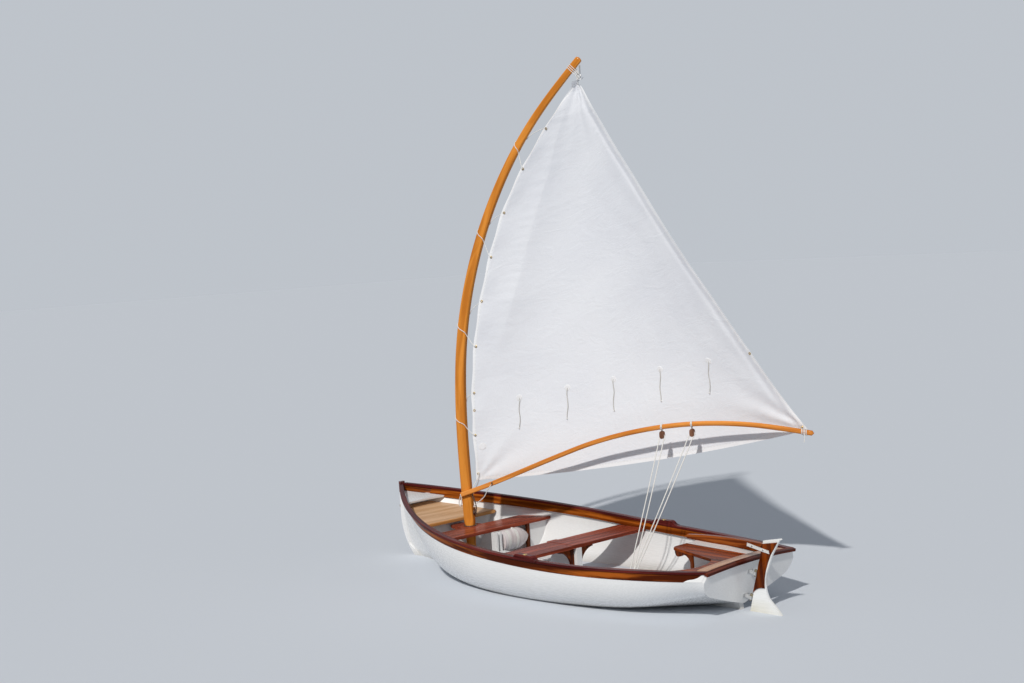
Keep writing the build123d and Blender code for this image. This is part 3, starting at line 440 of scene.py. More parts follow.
# The cap's purple tint is a painted reflection of the sky.
rail_cap = varnish("rail_cap", (0.135, 0.019, 0.015), (0.058, 0.007, 0.007), "RAIL", 12.0, 0.5, 0.06)
strake_wood = varnish("strake_wood", (0.36, 0.090, 0.010), (0.060, 0.009, 0.001), "RAIL", 9.0, 0.75, 0.06)
inner_rail = varnish("inner_rail", (0.38, 0.100, 0.012), (0.120, 0.022, 0.003), "RAIL", 9.0, 0.6, 0.0, 0.0)
seat_wood = varnish("seat_wood", (0.36, 0.078, 0.040), (0.165, 0.029, 0.014), "Y", 8.0, 0.5, 0.06)
bench_wood = varnish("bench_wood", (0.34, 0.066, 0.006), (0.145, 0.022, 0.002), "X", 8.0, 0.6, 0.05)
upright_wood = varnish("upright_wood", (0.20, 0.040, 0.006), (0.050, 0.008, 0.002), "Z", 9.0, 0.5, 0.12)
rudder_wood = varnish("rudder_wood", (0.21, 0.040, 0.003), (0.060, 0.009, 0.001), "Z", 10.0, 0.6, 0.12)
tiller_wood = varnish("tiller_wood", (0.40, 0.105, 0.020), (0.13, 0.025, 0.006), "X", 20.0, 0.8, 0.2)
cap_wood = varnish("cap_wood", (0.15, 0.030, 0.014), (0.055, 0.009, 0.005), "Y", 9.0, 0.5, 0.06)
mast_wood = varnish("mast_wood", (0.74, 0.280, 0.042), (0.52, 0.170, 0.020), "UV", 7.0, 0.35, 0.12)
boom_wood = varnish("boom_wood", (0.82, 0.32, 0.07), (0.58, 0.19, 0.030), "UV", 7.0, 0.35, 0.10)
lid_wood = varnish("lid_wood", (0.72, 0.47, 0.28), (0.56, 0.33, 0.17), "Y", 6.0, 0.4, 0.1)
nosing_wood = varnish("nosing_wood", (0.62, 0.32, 0.12), (0.42, 0.18, 0.05), "Y", 9.0, 0.4, 0.15)
trim_white = painted("trim_white", (0.86, 0.86, 0.86), (0.60, 0.58, 0.55))
# The gudgeons' mid grey is a painted shade, dark enough that in the sun they blend with the shaded transom.
fitting_shade_grey = painted("fitting_shade_grey", (0.47, 0.48, 0.49), (0.36, 0.35, 0.33))
ledge_wood = varnish("ledge_wood", (0.66, 0.40, 0.26), (0.48, 0.26, 0.16), "Y", 6.0, 0.4, 0.1)
board_wood = varnish("board_wood", (0.40, 0.23, 0.10), (0.20, 0.10, 0.04), "X", 10.0, 0.4, 0.1)
block_wood = varnish("block_wood", (0.26, 0.125, 0.075), (0.12, 0.050, 0.030), "Z", 14.0, 0.5, 0.15)
# A rope's second colour is a painted shade in the grooves between its strands.
white_rope = roped("white_rope", (0.86, 0.85, 0.82), (0.42, 0.40, 0.38))
dark_rope = roped("dark_rope", (0.10, 0.055, 0.035), (0.03, 0.018, 0.012))
steel = worn("steel", (0.62, 0.62, 0.62), (0.42, 0.41, 0.40), 1.0)
bright_alloy = worn("bright_alloy", (0.90, 0.90, 0.88), (0.74, 0.73, 0.71), 0.25)
brass = worn("brass", (0.66, 0.47, 0.18), (0.36, 0.24, 0.09), 1.0)
bronze = worn("bronze", (0.36, 0.30, 0.20), (0.20, 0.16, 0.11), 0.6)
leather = worn("leather", (0.085, 0.045, 0.028), (0.045, 0.024, 0.016), 0.0, 90.0, 0.0008, 0.6)


print("finishes", len(bpy.data.materials))

# %% [markdown]
# Each rigid piece gets its finish by a word in its name. The stem needs two: it is painted up to the sheer
# and ends in varnished wood.

# %% Finishes of the rigid pieces
def capped_finish(material, name, edge, light, dark):
    """A copy of a finish that changes to plain grained wood above a height."""
    made = material.copy()
    made.name = name
    tree = made.node_tree
    shader = tree.nodes["Principled BSDF"]
    place = object_place(tree)
    wood = put(tree, WOOD, {"Vector": turn(place, z=QUARTER), "Light": (*light, 1), "Dark": (*dark, 1),
                            "Stripes": 9.0, "Ribbon": 0.4})
    paint = shader.inputs["Base Color"].links[0].from_socket
    above = maths("GREATER_THAN", split(place)[2], edge)
    feed(shader, {"Base Color": blend_colours(above, paint, wood.outputs["Color"])})
    return made


STEM_CAP_LOW = 0.515
stem_finish = capped_finish(hull_white, "stem_with_cap", STEM_CAP_LOW, (0.150, 0.024, 0.018),
                            (0.070, 0.009, 0.008))
# Columns: words in the node's name, finish. The first match counts.
NODE_FINISHES = [
    ("stem", stem_finish), ("gunwale_cap", rail_cap), ("sheer_strake", strake_wood),
    ("strake_corner", hull_white), ("inwale", inner_rail), ("transom_cap", cap_wood),
    ("mast_thwart", seat_wood), ("mast_partner", seat_wood), ("middle_thwart", seat_wood),
    ("thwart_knee", upright_wood), ("web_strip", upright_wood), ("thwart_web", hull_white),
    ("stern_bench", bench_wood),
    ("bench_apron", upright_wood), ("rowlock_pad", rail_cap), ("rudder_cheek", rudder_wood),
    ("rudder_blade", blade_white), ("centreboard_pin", steel), ("centreboard_case", hull_white),
    ("centreboard", blade_white), ("bow_lid", lid_wood), ("mast_step", upright_wood), ("floor", board_wood),
    ("tiller_straps", bright_alloy), ("tiller", tiller_wood), ("rudder_gudgeons", fitting_shade_grey),
    ("rudder_", bronze), ("masthead", steel), ("ring", brass), ("block", block_wood), ("", hull_white),
]
for name, node in nodes.items():
    finish = next(material for words, material in NODE_FINISHES if words in name)
    node.data.materials.clear()
    node.data.materials.append(finish)
print("finished", len(nodes), "nodes")

# %% [markdown]
# Spars and ropes start from short tables. A natural cubic spline runs smoothly through the rows of a table,
# as a batten bends round its pins. Rings set square to such a line, each turned as little as possible from
# the last, give a rope or a spar without twist.

# %% Curves and rings
def cubic(reach, rows, wanted):
    """Natural cubic spline through rows, one for each value of reach, read at the wanted values."""
    reach, rows = np.asarray(reach, float), np.asarray(rows, float)
    wanted = np.atleast_1d(wanted).astype(float)
    count, gap = len(reach), np.diff(reach)
    system, right = np.eye(count), np.zeros((count, rows.shape[1]))
    for i in range(1, count - 1):
        system[i, i - 1:i + 2] = gap[i - 1], 2 * (gap[i - 1] + gap[i]), gap[i]
        right[i] = 3 * ((rows[i + 1] - rows[i]) / gap[i] - (rows[i] - rows[i - 1]) / gap[i - 1])
    bend = np.linalg.solve(system, right)
    slope = np.diff(rows, axis=0) / gap[:, None] - gap[:, None] * (2 * bend[:-1] + bend[1:]) / 3
    twist = np.diff(bend, axis=0) / (3 * gap[:, None])
    part = np.clip(np.searchsorted(reach, wanted, side="right") - 1, 0, count - 2)
    t = (wanted - reach[part])[:, None]
    return rows[part] + slope[part] * t + bend[part] * t * t + twist[part] * t ** 3


def reach_of(points):
    """Distance along a row of points, starting at zero."""
    return np.r_[0.0, np.cumsum(np.linalg.norm(np.diff(np.asarray(points, float), axis=0), axis=1))]


def smooth_path(points, step=0.010):
    reach = reach_of(points)
    return cubic(reach, points, np.linspace(0, reach[-1], max(int(reach[-1] / step), 6)))


def read_line(table, where):
    """The second column of a table at places in the first, in straight lines."""
    return np.interp(where, *zip(*table))


def read_curve(table, where):
    """The second column of a table at places in the first, on a smooth curve."""
    return cubic([row[0] for row in table], [row[1:] for row in table], where)[:, 0]


def unit(vector):
    return np.asarray(vector, float) / np.linalg.norm(vector)


def across(way, other):
    """Two directions square to a way and to each other. other is any direction that isn't the way's own."""
    first = unit(np.cross(way, other))
    return first, np.cross(way, first)


def circle(count, closed=False):
    """Angles of a full turn. A closed one ends where it starts."""
    return np.linspace(0, 2 * math.pi, count + closed, endpoint=closed)


def soft_oval(angles, power):
    """The two coordinates of a round outline that gets squarer with its power."""
    return [np.sign(part) * np.abs(part) ** (2 / power) for part in (np.cos(angles), np.sin(angles))]


def round_rings(path, radius, sides=8):
    """Round rings of one radius, or of one radius a point, square to a path and without twist."""
    path = np.asarray(path, float)
    tangents = np.gradient(path, axis=0)
    tangents /= np.linalg.norm(tangents, axis=1)[:, None]
    side = np.cross(tangents[0], (0.21, 0.13, 0.97))
    angles = circle(sides)[:, None]
    rings = []
    for point, tangent, size in zip(path, tangents, np.broadcast_to(radius, len(path))):
        side = side - tangent * (side @ tangent)
        side /= np.linalg.norm(side)
        rings.append(point + size * (np.cos(angles) * side + np.sin(angles) * np.cross(tangent, side)))
    return np.array(rings)


print("a spline through 0, 1, 0 halfway up:", read_curve([(0, 0), (1, 1), (2, 0)], 0.5).round(3))

# %% [markdown]
# A mesh built ring by ring gives full control of the shape, and its texture coordinates can be real metres
# along the piece, so grain and rope lay follow every bend. Each piece then stands on a body of the frame:
# what rides on the rig turns with it.

# %% Mesh helpers
def smooth_mesh(name, points, faces, maps):
    """A smooth mesh with named maps. Each holds one pair of numbers a point, or one a corner of the faces."""
    mesh = bpy.data.meshes.new(name)
    mesh.from_pydata(np.asarray(points).tolist(), [], faces)
    corners = [index for face in faces for index in face]
    for label, pairs in maps.items():
        pairs = np.asarray(pairs, np.float32)
        if len(pairs) == len(points):
            pairs = pairs[corners]
        mesh.uv_layers.new(name=label).data.foreach_set("uv", pairs.ravel())
    mesh.polygons.foreach_set("use_smooth", [True] * len(mesh.polygons))
    return mesh


def skin_mesh(name, skins, around=1.0, caps=True):
    """One mesh over one or more skins, each a row of equal rings. Its map holds the way round and along."""
    points, faces, marks = [], [], []
    for rings in skins:
        rings = np.asarray(rings, float)
        count, sides = rings.shape[:2]
        base, reach = len(points), reach_of(rings.mean(axis=1))
        points.extend(rings.reshape(-1, 3).tolist())
        for r in range(count - 1):
            for c in range(sides):
                d = (c + 1) % sides
                low, high = base + r * sides, base + (r + 1) * sides
                faces.append((low + c, low + d, high + d, high + c))
                left, right = c / sides * around, (c + 1) / sides * around
                marks += [(left, reach[r]), (right, reach[r]), (right, reach[r + 1]), (left, reach[r + 1])]
        if caps:
            for row, order in ((0, range(sides - 1, -1, -1)), (count - 1, range(sides))):
                faces.append(tuple(base + row * sides + c for c in order))
                marks += [(c / sides * around, reach[row]) for c in order]
    mesh = smooth_mesh(name, points, faces, {"cloth": marks})
    mesh.set_sharp_from_angle(angle=math.radians(50))
    return mesh


def stand(name, data, material, body, slot=None):
    """A mesh or a curve as a finished piece on its body."""
    piece = bpy.data.objects.new(name, data)
    scene.collection.objects.link(piece)
    data.materials.append(material)
    if body:
        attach(piece, body)
    return piece


def skin(name, skins, material, body, slot=None, around=1.0, caps=True):
    return stand(name, skin_mesh(name, skins, around, caps), material, body, slot)


def rope(name, lines, radius, body, material=None):
    """One or more lines of rope as one piece."""
    skins = [round_rings(smooth_path(line), radius) for line in lines]
    return skin(name, skins, material or white_rope, body)


def studs(name, places, radius, height, body, material):
    """Low domed heads. Each place is a point on a surface and the direction that it looks to."""
    skins = []
    for point, outward in places:
        path = [np.array(point) + unit(outward) * height * h for h in (-0.3, 0.55, 0.9, 1.0)]
        skins.append(round_rings(path, np.array([1.0, 1.0, 0.72, 0.12]) * radius, 12))
    return skin(name, skins, material, body)


print("helpers", [made.__name__ for made in (smooth_mesh, skin_mesh, stand, skin, rope, studs)])

# %% [markdown]
# The mast, boom and sail share one upright plane that turns about the mast's foot, so their tables are in
# that plane: the distance aft of the mast, the height, and the distance to port of the plane. One function
# brings them into the boat's frame.

# %% The rig's plane
RIG_ANGLE = math.radians(18)
MAST_FOOT = np.array([0.979, 0.0, 0.0])
AFT_ALONG = np.array([-math.cos(RIG_ANGLE), -math.sin(RIG_ANGLE), 0.0])
PORT_OF = np.array([-math.sin(RIG_ANGLE), math.cos(RIG_ANGLE), 0.0])
UPWARD = np.array([0.0, 0.0, 1.0])


def rigged(rows):
    """Rows of (aft, height, port) as points of the boat."""
    rows = np.atleast_2d(np.asarray(rows, float))
    return MAST_FOOT + rows[:, :1] * AFT_ALONG + rows[:, 1:2] * UPWARD + rows[:, 2:3] * PORT_OF


print("clew at", rigged([(2.832, 1.104, 0.0)])[0].round(3))

# %% [markdown]
# The mast is a bent wooden spar, oval in section, laminated from pine and varnished. Its CAD solid is
# eight-sided. Here its sections follow the same table on a smooth curve, with a soft oval that keeps the
# sides rather flat, and the head is rounded off. Its foot is round where it turns in the thwart.

# %% Mast
# Columns: distance aft, height, lean aft in degrees, fore-and-aft size, width.
MAST_SECTIONS = [
    (0.000, 0.318, -2.5, 0.088, 0.052), (-0.020, 1.150, 0.0, 0.088, 0.052),
    (0.028, 1.800, 9.5, 0.082, 0.050), (0.180, 2.404, 20.0, 0.074, 0.046),
    (0.446, 2.988, 30.0, 0.064, 0.042), (0.775, 3.461, 40.5, 0.056, 0.038),
    (1.197, 3.890, 47.0, 0.050, 0.034),
]
# The round stub that stands in the thwart, then the oval shaft's start, its rounded tip and how square it is.
MAST_HEEL, STUB_TOP, STUB_RADIUS = -0.058, 0.314, 0.039
SHAFT_START, TIP_LENGTH, MAST_OVAL = 0.026, 0.014, 4.6
mast_reach = reach_of([row[:2] for row in MAST_SECTIONS])
mast_angles = circle(36)


def mast_ring(reach, angles, grow=0.0, scale=1.0):
    """Points round the mast at a distance along it. Angle 0 is its aft edge, a quarter turn its port side."""
    aft, height, lean, chord, width = cubic(mast_reach, MAST_SECTIONS, reach)[0]
    lean = math.radians(lean)
    out, port = soft_oval(np.asarray(angles, float), MAST_OVAL)
    out, port = out * (chord / 2 * scale + grow), port * (width / 2 * scale + grow)
    return rigged(np.stack([aft + math.cos(lean) * out, height - math.sin(lean) * out, port], axis=1))


def mast_at(height):
    """Distance along the mast at which its middle has that height."""
    tries = np.linspace(0, mast_reach[-1], 800)
    return float(np.interp(height, cubic(mast_reach, MAST_SECTIONS, tries)[:, 1], tries))


around_stub = np.outer(np.cos(mast_angles), AFT_ALONG) + np.outer(np.sin(mast_angles), PORT_OF)
stub = [MAST_FOOT + around_stub * STUB_RADIUS + UPWARD * z for z in np.linspace(MAST_HEEL, STUB_TOP, 10)]
tip_start = mast_reach[-1] - TIP_LENGTH
shaft = [mast_ring(r, mast_angles) for r in np.linspace(SHAFT_START, tip_start, 120)]
tip = [mast_ring(tip_start + TIP_LENGTH * math.sin(a), mast_angles, 0.0, math.cos(a))
       for a in (0.5, 0.9, 1.2, 1.45)]
mast = skin("mast_spar", [stub + shaft + tip], mast_wood, "rig", "mast_wood", around=0.24)
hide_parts("mast")
print("mast", len(mast.data.polygons), "faces,", round(mast_reach[-1], 3), "m along")

# %% [markdown]
# The boom lies on the port side of the sail. It rises in a straight run, arches over and ends straight again.
# A sweep of rings along that line is enough. Near its forward end it is flattened, with a groove cut round it
# where its lashing sits, so the rings there get less height.

# %% Boom
BOOM_SIDE, BOOM_RADIUS, BOOM_END_RUN = 0.0423, 0.016, 0.330
BOOM_START, ARCH_START, ARCH_END = (-0.045, 0.562), (0.980, 0.952), (2.560, 1.116)
BOOM_SKIN, END_ROUNDING = 0.0185, 0.008     # the real spar is a little thicker than its plain stand-in
GROOVE, GROOVE_HALF, GROOVE_DEPTH = 0.318, 0.006, 0.22     # from the forward end to the lashing's groove
FLAT_END, FLAT_RUN, FLAT_THIN = 0.75, 0.35, 0.25      # the flattened forward part, its change, its lost width
rise = unit(np.subtract(ARCH_START, BOOM_START))
below = np.array([rise[1], -rise[0]])
chord = np.subtract(ARCH_END, ARCH_START)
arch_radius = (chord @ chord) / (2 * (chord @ below))
arch_centre = np.array(ARCH_START) + below * arch_radius
arch_turn = 2 * math.asin(np.linalg.norm(chord) / 2 / arch_radius)
arch_angles = math.atan2(-below[1], -below[0]) - np.linspace(0, arch_turn, 60)
arch = arch_centre + arch_radius * np.stack([np.cos(arch_angles), np.sin(arch_angles)], axis=1)
run_length = np.linalg.norm(np.subtract(ARCH_START, BOOM_START))
run_up = np.array(BOOM_START) + np.outer(np.linspace(0, run_length, 110)[:-1], rise)
run_out = arch[-1] + np.outer(np.linspace(0, BOOM_END_RUN, 24)[1:], unit(arch[-1] - arch[-2]))
boom_line = np.vstack([run_up, arch, run_out])
# The real spar is a little flatter than the arc. Columns: distance aft, correction of the height.
FLATTER = [(-0.045, 0.0), (0.20, -0.011), (0.70, -0.012), (1.20, -0.016), (1.50, -0.016), (1.90, -0.008),
           (2.30, 0.003), (2.60, 0.014), (2.90, 0.018)]
boom_line[:, 1] += read_curve(FLATTER, boom_line[:, 0])
boom_reach = reach_of(boom_line)
boom_ways = np.gradient(boom_line, axis=0)
boom_ways /= np.linalg.norm(boom_ways, axis=1)[:, None]
boom_rings = []
for point, way, reach in zip(boom_line, boom_ways, boom_reach):
    to_end = min(reach, boom_reach[-1] - reach)
    size = BOOM_SKIN * math.sqrt(max(1 - max(1 - to_end / END_ROUNDING, 0) ** 2, 0.02))
    size *= 1 - GROOVE_DEPTH * math.exp(-((reach - GROOVE) / GROOVE_HALF) ** 4)
    squared = np.clip((FLAT_END - reach) / FLAT_RUN, 0, 1)
    port, up = soft_oval(circle(32), 2.1 + 3.4 * squared)
    up, port = up * size, port * size * (1 - FLAT_THIN * squared)
    ring = np.stack([point[0] - way[1] * up, point[1] + way[0] * up, BOOM_SIDE + port], axis=1)
    boom_rings.append(rigged(ring))
boom = skin("boom_spar", [boom_rings], boom_wood, "rig", "boom_wood", around=0.10)
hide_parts("boom")


def boom_height(aft):
    """Height of the boom's middle over a distance aft of the mast."""
    return float(np.interp(aft, boom_line[:, 0], boom_line[:, 1]))


print("boom", round(boom_reach[-1], 3), "m, arch radius", round(arch_radius, 2))

# %% [markdown]
# The sail is one soft triangle of cloth, laced to the mast along its front edge, tied at the boom's end, and
# free along its foot. Its outline and belly come from the same table as the CAD solid. Cloth simulation would
# only blur an outline that the photograph shows well.

# %% Sail outline
# Columns: luff aft, luff height, leech aft, leech height, camber to starboard, drop of the middle.
SAIL_SECTIONS = [
    (0.100, 0.680, 2.832, 1.104, 0.150, 0.070), (0.095, 1.180, 2.520, 1.590, 0.240, 0.020),
    (0.170, 1.850, 2.140, 2.190, 0.235, 0.000), (0.330, 2.420, 1.800, 2.720, 0.180, 0.000),
    (0.620, 3.030, 1.480, 3.225, 0.100, 0.000), (1.160, 3.695, 1.182, 3.695, 0.003, 0.000),
]
# Columns: share up the sail, hollow of the free edge.
LEECH_HOLLOW = [(0.0, 0.0), (0.054, 0.021), (0.134, 0.037), (0.216, 0.048), (0.300, 0.058),
                (0.390, 0.067), (0.450, 0.072), (0.510, 0.070), (0.590, 0.063), (0.680, 0.047),
                (0.770, 0.037), (0.860, 0.018), (0.925, 0.0), (1.015, -0.014)]
# Columns: share up the sail, cloth in front of the eyelets' line.
LUFF_MARGIN = [(0.0, 0.016), (0.5, 0.020), (0.85, 0.024), (0.96, 0.036), (1.015, 0.020)]
SAIL_HEAD = 1.014            # the cloth goes on a little above the head's table
middles = [((row[0] + row[2]) / 2, (row[1] + row[3]) / 2) for row in SAIL_SECTIONS]
SAIL_RUN = reach_of(middles)[-1]
sail_steps = reach_of(middles) / SAIL_RUN


def plain_sail(u, v):
    """(aft, height, port) rows for shares u across from the luff and v up from the foot."""
    luff_s, luff_z, leech_s, leech_z, camber, drop = cubic(sail_steps, SAIL_SECTIONS, v).T
    bow = 4 * u * (1 - u)
    height = luff_z + (leech_z - luff_z) * u - drop * bow
    return np.stack([luff_s + (leech_s - luff_s) * u, height, -camber * bow], axis=1)


def sail_width(v):
    """Width of the table's sail at a share up it."""
    luff_s, luff_z, leech_s, leech_z = cubic(sail_steps, SAIL_SECTIONS, v).T[:4]
    return np.hypot(leech_s - luff_s, leech_z - luff_z)


print("sail", round(SAIL_RUN, 2), "m up, widths", sail_width([0.0, 0.5, 1.0]).round(2))

# %% [markdown]
# The cloth's own marks are added by formula. There is a soft ridge that runs down from the head, creases fan
# out of the corners, slack scallops hang between the lacing eyelets, and a folded band lies just inside the
# free edge. Each mark moves the cloth a few millimetres or centimetres to port, and fades where it ends.

# %% Sail shape
LACE_SHARES = [0.130, 0.247, 0.372, 0.4935, 0.609, 0.718, 0.819, 0.907]
# Columns: share up the sail, share across it, of the ridge that runs down from the head.
RIDGE = [(0.335, 0.08), (0.465, 0.137), (0.657, 0.217), (0.805, 0.30), (0.988, 0.277)]
# Columns: corner, its middle direction, folds in a turn, their height, distance of the strongest, reach.
FANS = [((2.832, 1.104), 2.75, 13, 0.0075, 0.16, 0.42), ((0.100, 0.680), 0.80, 9, 0.0055, 0.12, 0.34),
        ((1.171, 3.72), -1.5, 17, 0.0035, 0.18, 0.40)]
# Heights of the cloth's other marks, in metres: the ridge and the fine creases beside it, the scallops' sag
# and belly between two eyelets, the free edge's fold, hollow and ripples, and two sizes of slack waves.
RIDGE_UP, CREASE_UP, SCALLOP_SAG, SCALLOP_UP = 0.044, 0.0008, 0.009, 0.007
FOLD_UP, FOLD_HOLLOW, RIPPLE_UP, WAVE_UP, WAVELET_UP = 0.005, 0.007, 0.0022, 0.0065, 0.0025
# Reaches of those marks, in metres: the ridge and its round top, the fine creases' step, place and band, the
# scallops' sag, and the belly behind it, the fold, the hollow inside it, and the ripples.
RIDGE_REACH, RIDGE_ROUND, CREASE_STEP, CREASE_OFF, CREASE_BAND = 0.24, 0.012, 0.071, 0.05, 0.09
SAG_REACH, BELLY_IN, BELLY_REACH = 0.05, 0.05, 0.07
FOLD_REACH, HOLLOW_IN, HOLLOW_REACH, RIPPLE_REACH = 0.024, 0.062, 0.020, 0.25


def hump(distance, half_width):
    """A smooth hump of height one round zero."""
    return np.exp(-(distance / half_width) ** 2)


def ramp(value, length):
    """From zero to one over a length, and flat on both sides of it."""
    return np.clip(value / length, 0, 1)


def fan(rows, corner, way, folds, depth, start, reach):
    """Creases that fan out of a corner: strongest at a distance, and gone beyond its reach."""
    gap = rows[:, :2] - np.array(corner)
    far = np.linalg.norm(gap, axis=1)
    angle = np.arctan2(gap[:, 1], gap[:, 0]) - way
    angle = (angle + math.pi) % (2 * math.pi) - math.pi
    folded = np.sin(folds * angle + 0.8 * np.sin(5 * angle))
    return depth * folded * hump(far - start, reach) * np.tanh(far / 0.05)


def worked_sail(u, v):
    """The sail's rows with all the cloth's marks, the distances from its two edges and the distance up it."""
    rows, width, up = plain_sail(u, v), sail_width(v), v * SAIL_RUN
    from_luff = u * width + read_line(LUFF_MARGIN, v)
    from_leech = (1 - u) * width - read_curve(LEECH_HOLLOW, v)
    # The ridge, with fine creases along its front.
    ridge = (u - read_line(RIDGE, v)) * width
    shown = ramp(v - 0.28, 0.2) * ramp(0.985 - v, 0.06)
    off_top = np.sqrt(ridge ** 2 + RIDGE_ROUND ** 2) - RIDGE_ROUND
    port = RIDGE_UP * np.exp(-off_top / RIDGE_REACH) * shown
    creases = np.sin(up * 2 * math.pi / CREASE_STEP + 2.6 * np.sin(up * 7.1) + ridge * 14)
    port += CREASE_UP * creases * hump(ridge + CREASE_OFF, CREASE_BAND) * shown
    for row in FANS:
        port += fan(rows, *row)
    # Slack scallops between two eyelets.
    slack = np.zeros_like(v)
    for low_share, high_share in zip([0.0] + LACE_SHARES, LACE_SHARES + [0.99]):
        slack += np.sin(math.pi * ramp(v - low_share, high_share - low_share)) ** 2
    rows[:, 0] += SCALLOP_SAG * slack * np.exp(-from_luff / SAG_REACH)
    port += SCALLOP_UP * slack * hump(from_luff - BELLY_IN, BELLY_REACH)
    # The free edge: a folded band with a hollow inside it, and ripples that die out towards the middle.
    folded = FOLD_UP * hump(from_leech, FOLD_REACH) - FOLD_HOLLOW * hump(from_leech - HOLLOW_IN, HOLLOW_REACH)
    port += folded * ramp(1 - v, 0.1)
    ripples = np.sin(from_leech * 30 + 2 * np.sin(up * 5.3)) * np.exp(-from_leech / RIPPLE_REACH)
    port += RIPPLE_UP * ripples * ramp(1 - v, 0.2)
    # Slack waves all over.
    port += WAVE_UP * np.sin(2.1 * from_luff + 1.7 * up + 0.4) * np.sin(1.3 * up - 2.9 * from_luff + 1.1)
    port += WAVELET_UP * np.sin(9.7 * from_luff - 6.1 * up + 0.9) * np.sin(5.2 * up + 3.3 * from_luff)
    rows[:, 2] += port * ramp(from_luff, 0.03)
    return rows, from_luff, from_leech, up


ACROSS, UP_STEPS = 150, 190
grid_u, grid_v = np.meshgrid(np.linspace(0, 1, ACROSS + 1), np.linspace(0, SAIL_HEAD, UP_STEPS + 1))
row_v = grid_v[:, 0]
margin, hollow = read_line(LUFF_MARGIN, row_v), read_curve(LEECH_HOLLOW, row_v)
width_there = sail_width(row_v)
grid_u = (-margin / width_there)[:, None] + grid_u * (1 + (margin - hollow) / width_there)[:, None]
sail_rows, from_luff, from_leech, sail_up = worked_sail(grid_u.ravel(), grid_v.ravel())
sail_points = rigged(sail_rows)
print("sail grid", len(sail_points), "points")

# %% [markdown]
# The cloth is a light woven polyester. Close up its weave is a fine crossing of threads, but from the boat
# next door one sees the hems: a doubled band along each edge with a row of stitches, and doubled corners. The
# material gets these from maps that hold real distances, in metres, to the sail's edges.

# %% Sailcloth and the sail
SAILCLOTH, cloth_in, cloth_out = new_group(
    "sailcloth",
    [("Cloth", "Vector", None), ("Edges", "Vector", None), ("White", "Color", (0.86, 0.86, 0.87, 1)),
     ("Shade", "Color", (0.72, 0.73, 0.77, 1)), ("Hem", "Float", 0.030)],
    [("Color", "Color"), ("Height", "Float"), ("Roughness", "Float")],
)
cloth = cloth_in["Cloth"]
weave = maths("MAXIMUM", bands(cloth, "X", 130.0), bands(cloth, "Y", 130.0))
from_luff_edge, from_leech_edge = split(cloth_in["Edges"])[:2]
nearest = maths("MINIMUM", maths("MINIMUM", from_luff_edge, from_leech_edge), split(cloth)[1])
hem = maths("LESS_THAN", nearest, cloth_in["Hem"])
from_stitch = maths("ABSOLUTE", minus(nearest, times(cloth_in["Hem"], 0.86)))
dashes = maths("GREATER_THAN", bands(cloth, "DIAGONAL", 24.0), 0.35)
stitch = times(maths("LESS_THAN", from_stitch, 0.0012), dashes)
wrinkled = noise(cloth, 7.0, 5.0, Roughness=0.62, Distortion=0.8)
ridged = noise(stretch(cloth, (2.0, 4.6, 1.0)), 1.6, 6.0, Roughness=0.6, Distortion=1.4)
sharp = maths("ABSOLUTE", minus(ridged, 0.5))
broad = noise(cloth, 1.3, 2.0)
height = plus(plus(times(weave, 0.05), times(hem, 0.35)), times(wrinkled, 1.3))
height = minus(minus(height, times(sharp, 1.5)), times(stitch, 0.3))
tone = blend_colours(spread(broad, 0.25, 0.75, 0.0, 0.35), cloth_in["White"], cloth_in["Shade"])
tone = blend_colours(times(hem, 0.5), tone, (0.93, 0.93, 0.93, 1))
tone = blend_colours(times(stitch, 0.5), tone, (0.55, 0.56, 0.60, 1))
feed(cloth_out, {"Color": tone, "Height": height, "Roughness": spread(broad, 0.3, 0.7, 0.72, 0.84)})


def sewn(name, white, shade, hem_width):
    material, tree, shader, bump = start_material(name, 0.006, 0.55)
    edges = add(tree, "UVMap", uv_map="edges").outputs[0]
    group = put(tree, SAILCLOTH, {"Cloth": cloth_map(tree), "Edges": edges, "White": (*white, 1),
                                  "Shade": (*shade, 1), "Hem": hem_width})
    finish_with(group, shader, bump, Specular_IOR_Level=0.2, Sheen_Weight=0.08)
    return material


def open_sheet(name, points, columns, maps):
    """A mesh over a grid of points, open at its edges, with named maps of one pair of numbers a point."""
    rows = len(points) // columns
    faces = [(r * columns + c, (r + 1) * columns + c, (r + 1) * columns + c + 1, r * columns + c + 1)
             for r in range(rows - 1) for c in range(columns - 1)]
    return smooth_mesh(name, points, faces, maps)


sail_white = sewn("sail_white", (0.80, 0.815, 0.855), (0.68, 0.70, 0.765), 0.028)
sail_mesh = open_sheet("sail_cloth", sail_points, ACROSS + 1, {
    "cloth": np.stack([from_luff, sail_up], axis=1), "edges": np.stack([from_luff, from_leech], axis=1)})
sail = stand("sail_cloth", sail_mesh, sail_white, "rig", "sailcloth")
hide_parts("sail")


def on_sail(u, v, off=0.0):
    """A point of the sail, moved off its port face by a distance, and the direction that face looks to."""
    spot = rigged(worked_sail(np.array([u, u + 0.004, u]), np.array([v, v, v + 0.004]))[0])
    face = np.cross(spot[2] - spot[0], spot[1] - spot[0])
    face /= np.linalg.norm(face)
    if face @ PORT_OF < 0:
        face = -face
    return spot[0] + face * off, face


# %% [markdown]
# Small sewn and pressed fittings hold the sail. Each lacing hole is a brass eyelet, a ring on each face of
# the cloth. Five reef points hang in a row above the foot, each on a round patch. The patches follow the
# cloth, so they are small discs worked out on the sail's own surface, two millimetres off it.

# %% Eyelets and patches
EYELET_IN, CLEW_IN, EYELET_OFF = 0.006, 0.030, 0.0015
EYELET_RADIUS, EYELET_WIRE = 0.0075, 0.0026
REEF_SHARES = [(0.147, 0.212), (0.310, 0.214), (0.473, 0.213), (0.643, 0.215), (0.820, 0.211)]
PATCH_RADIUS, PATCH_OFF, PATCH_EDGE_OFF = 0.024, 0.0022, 0.0002
TACK_PATCH = (0.022, 0.095, 1.25)


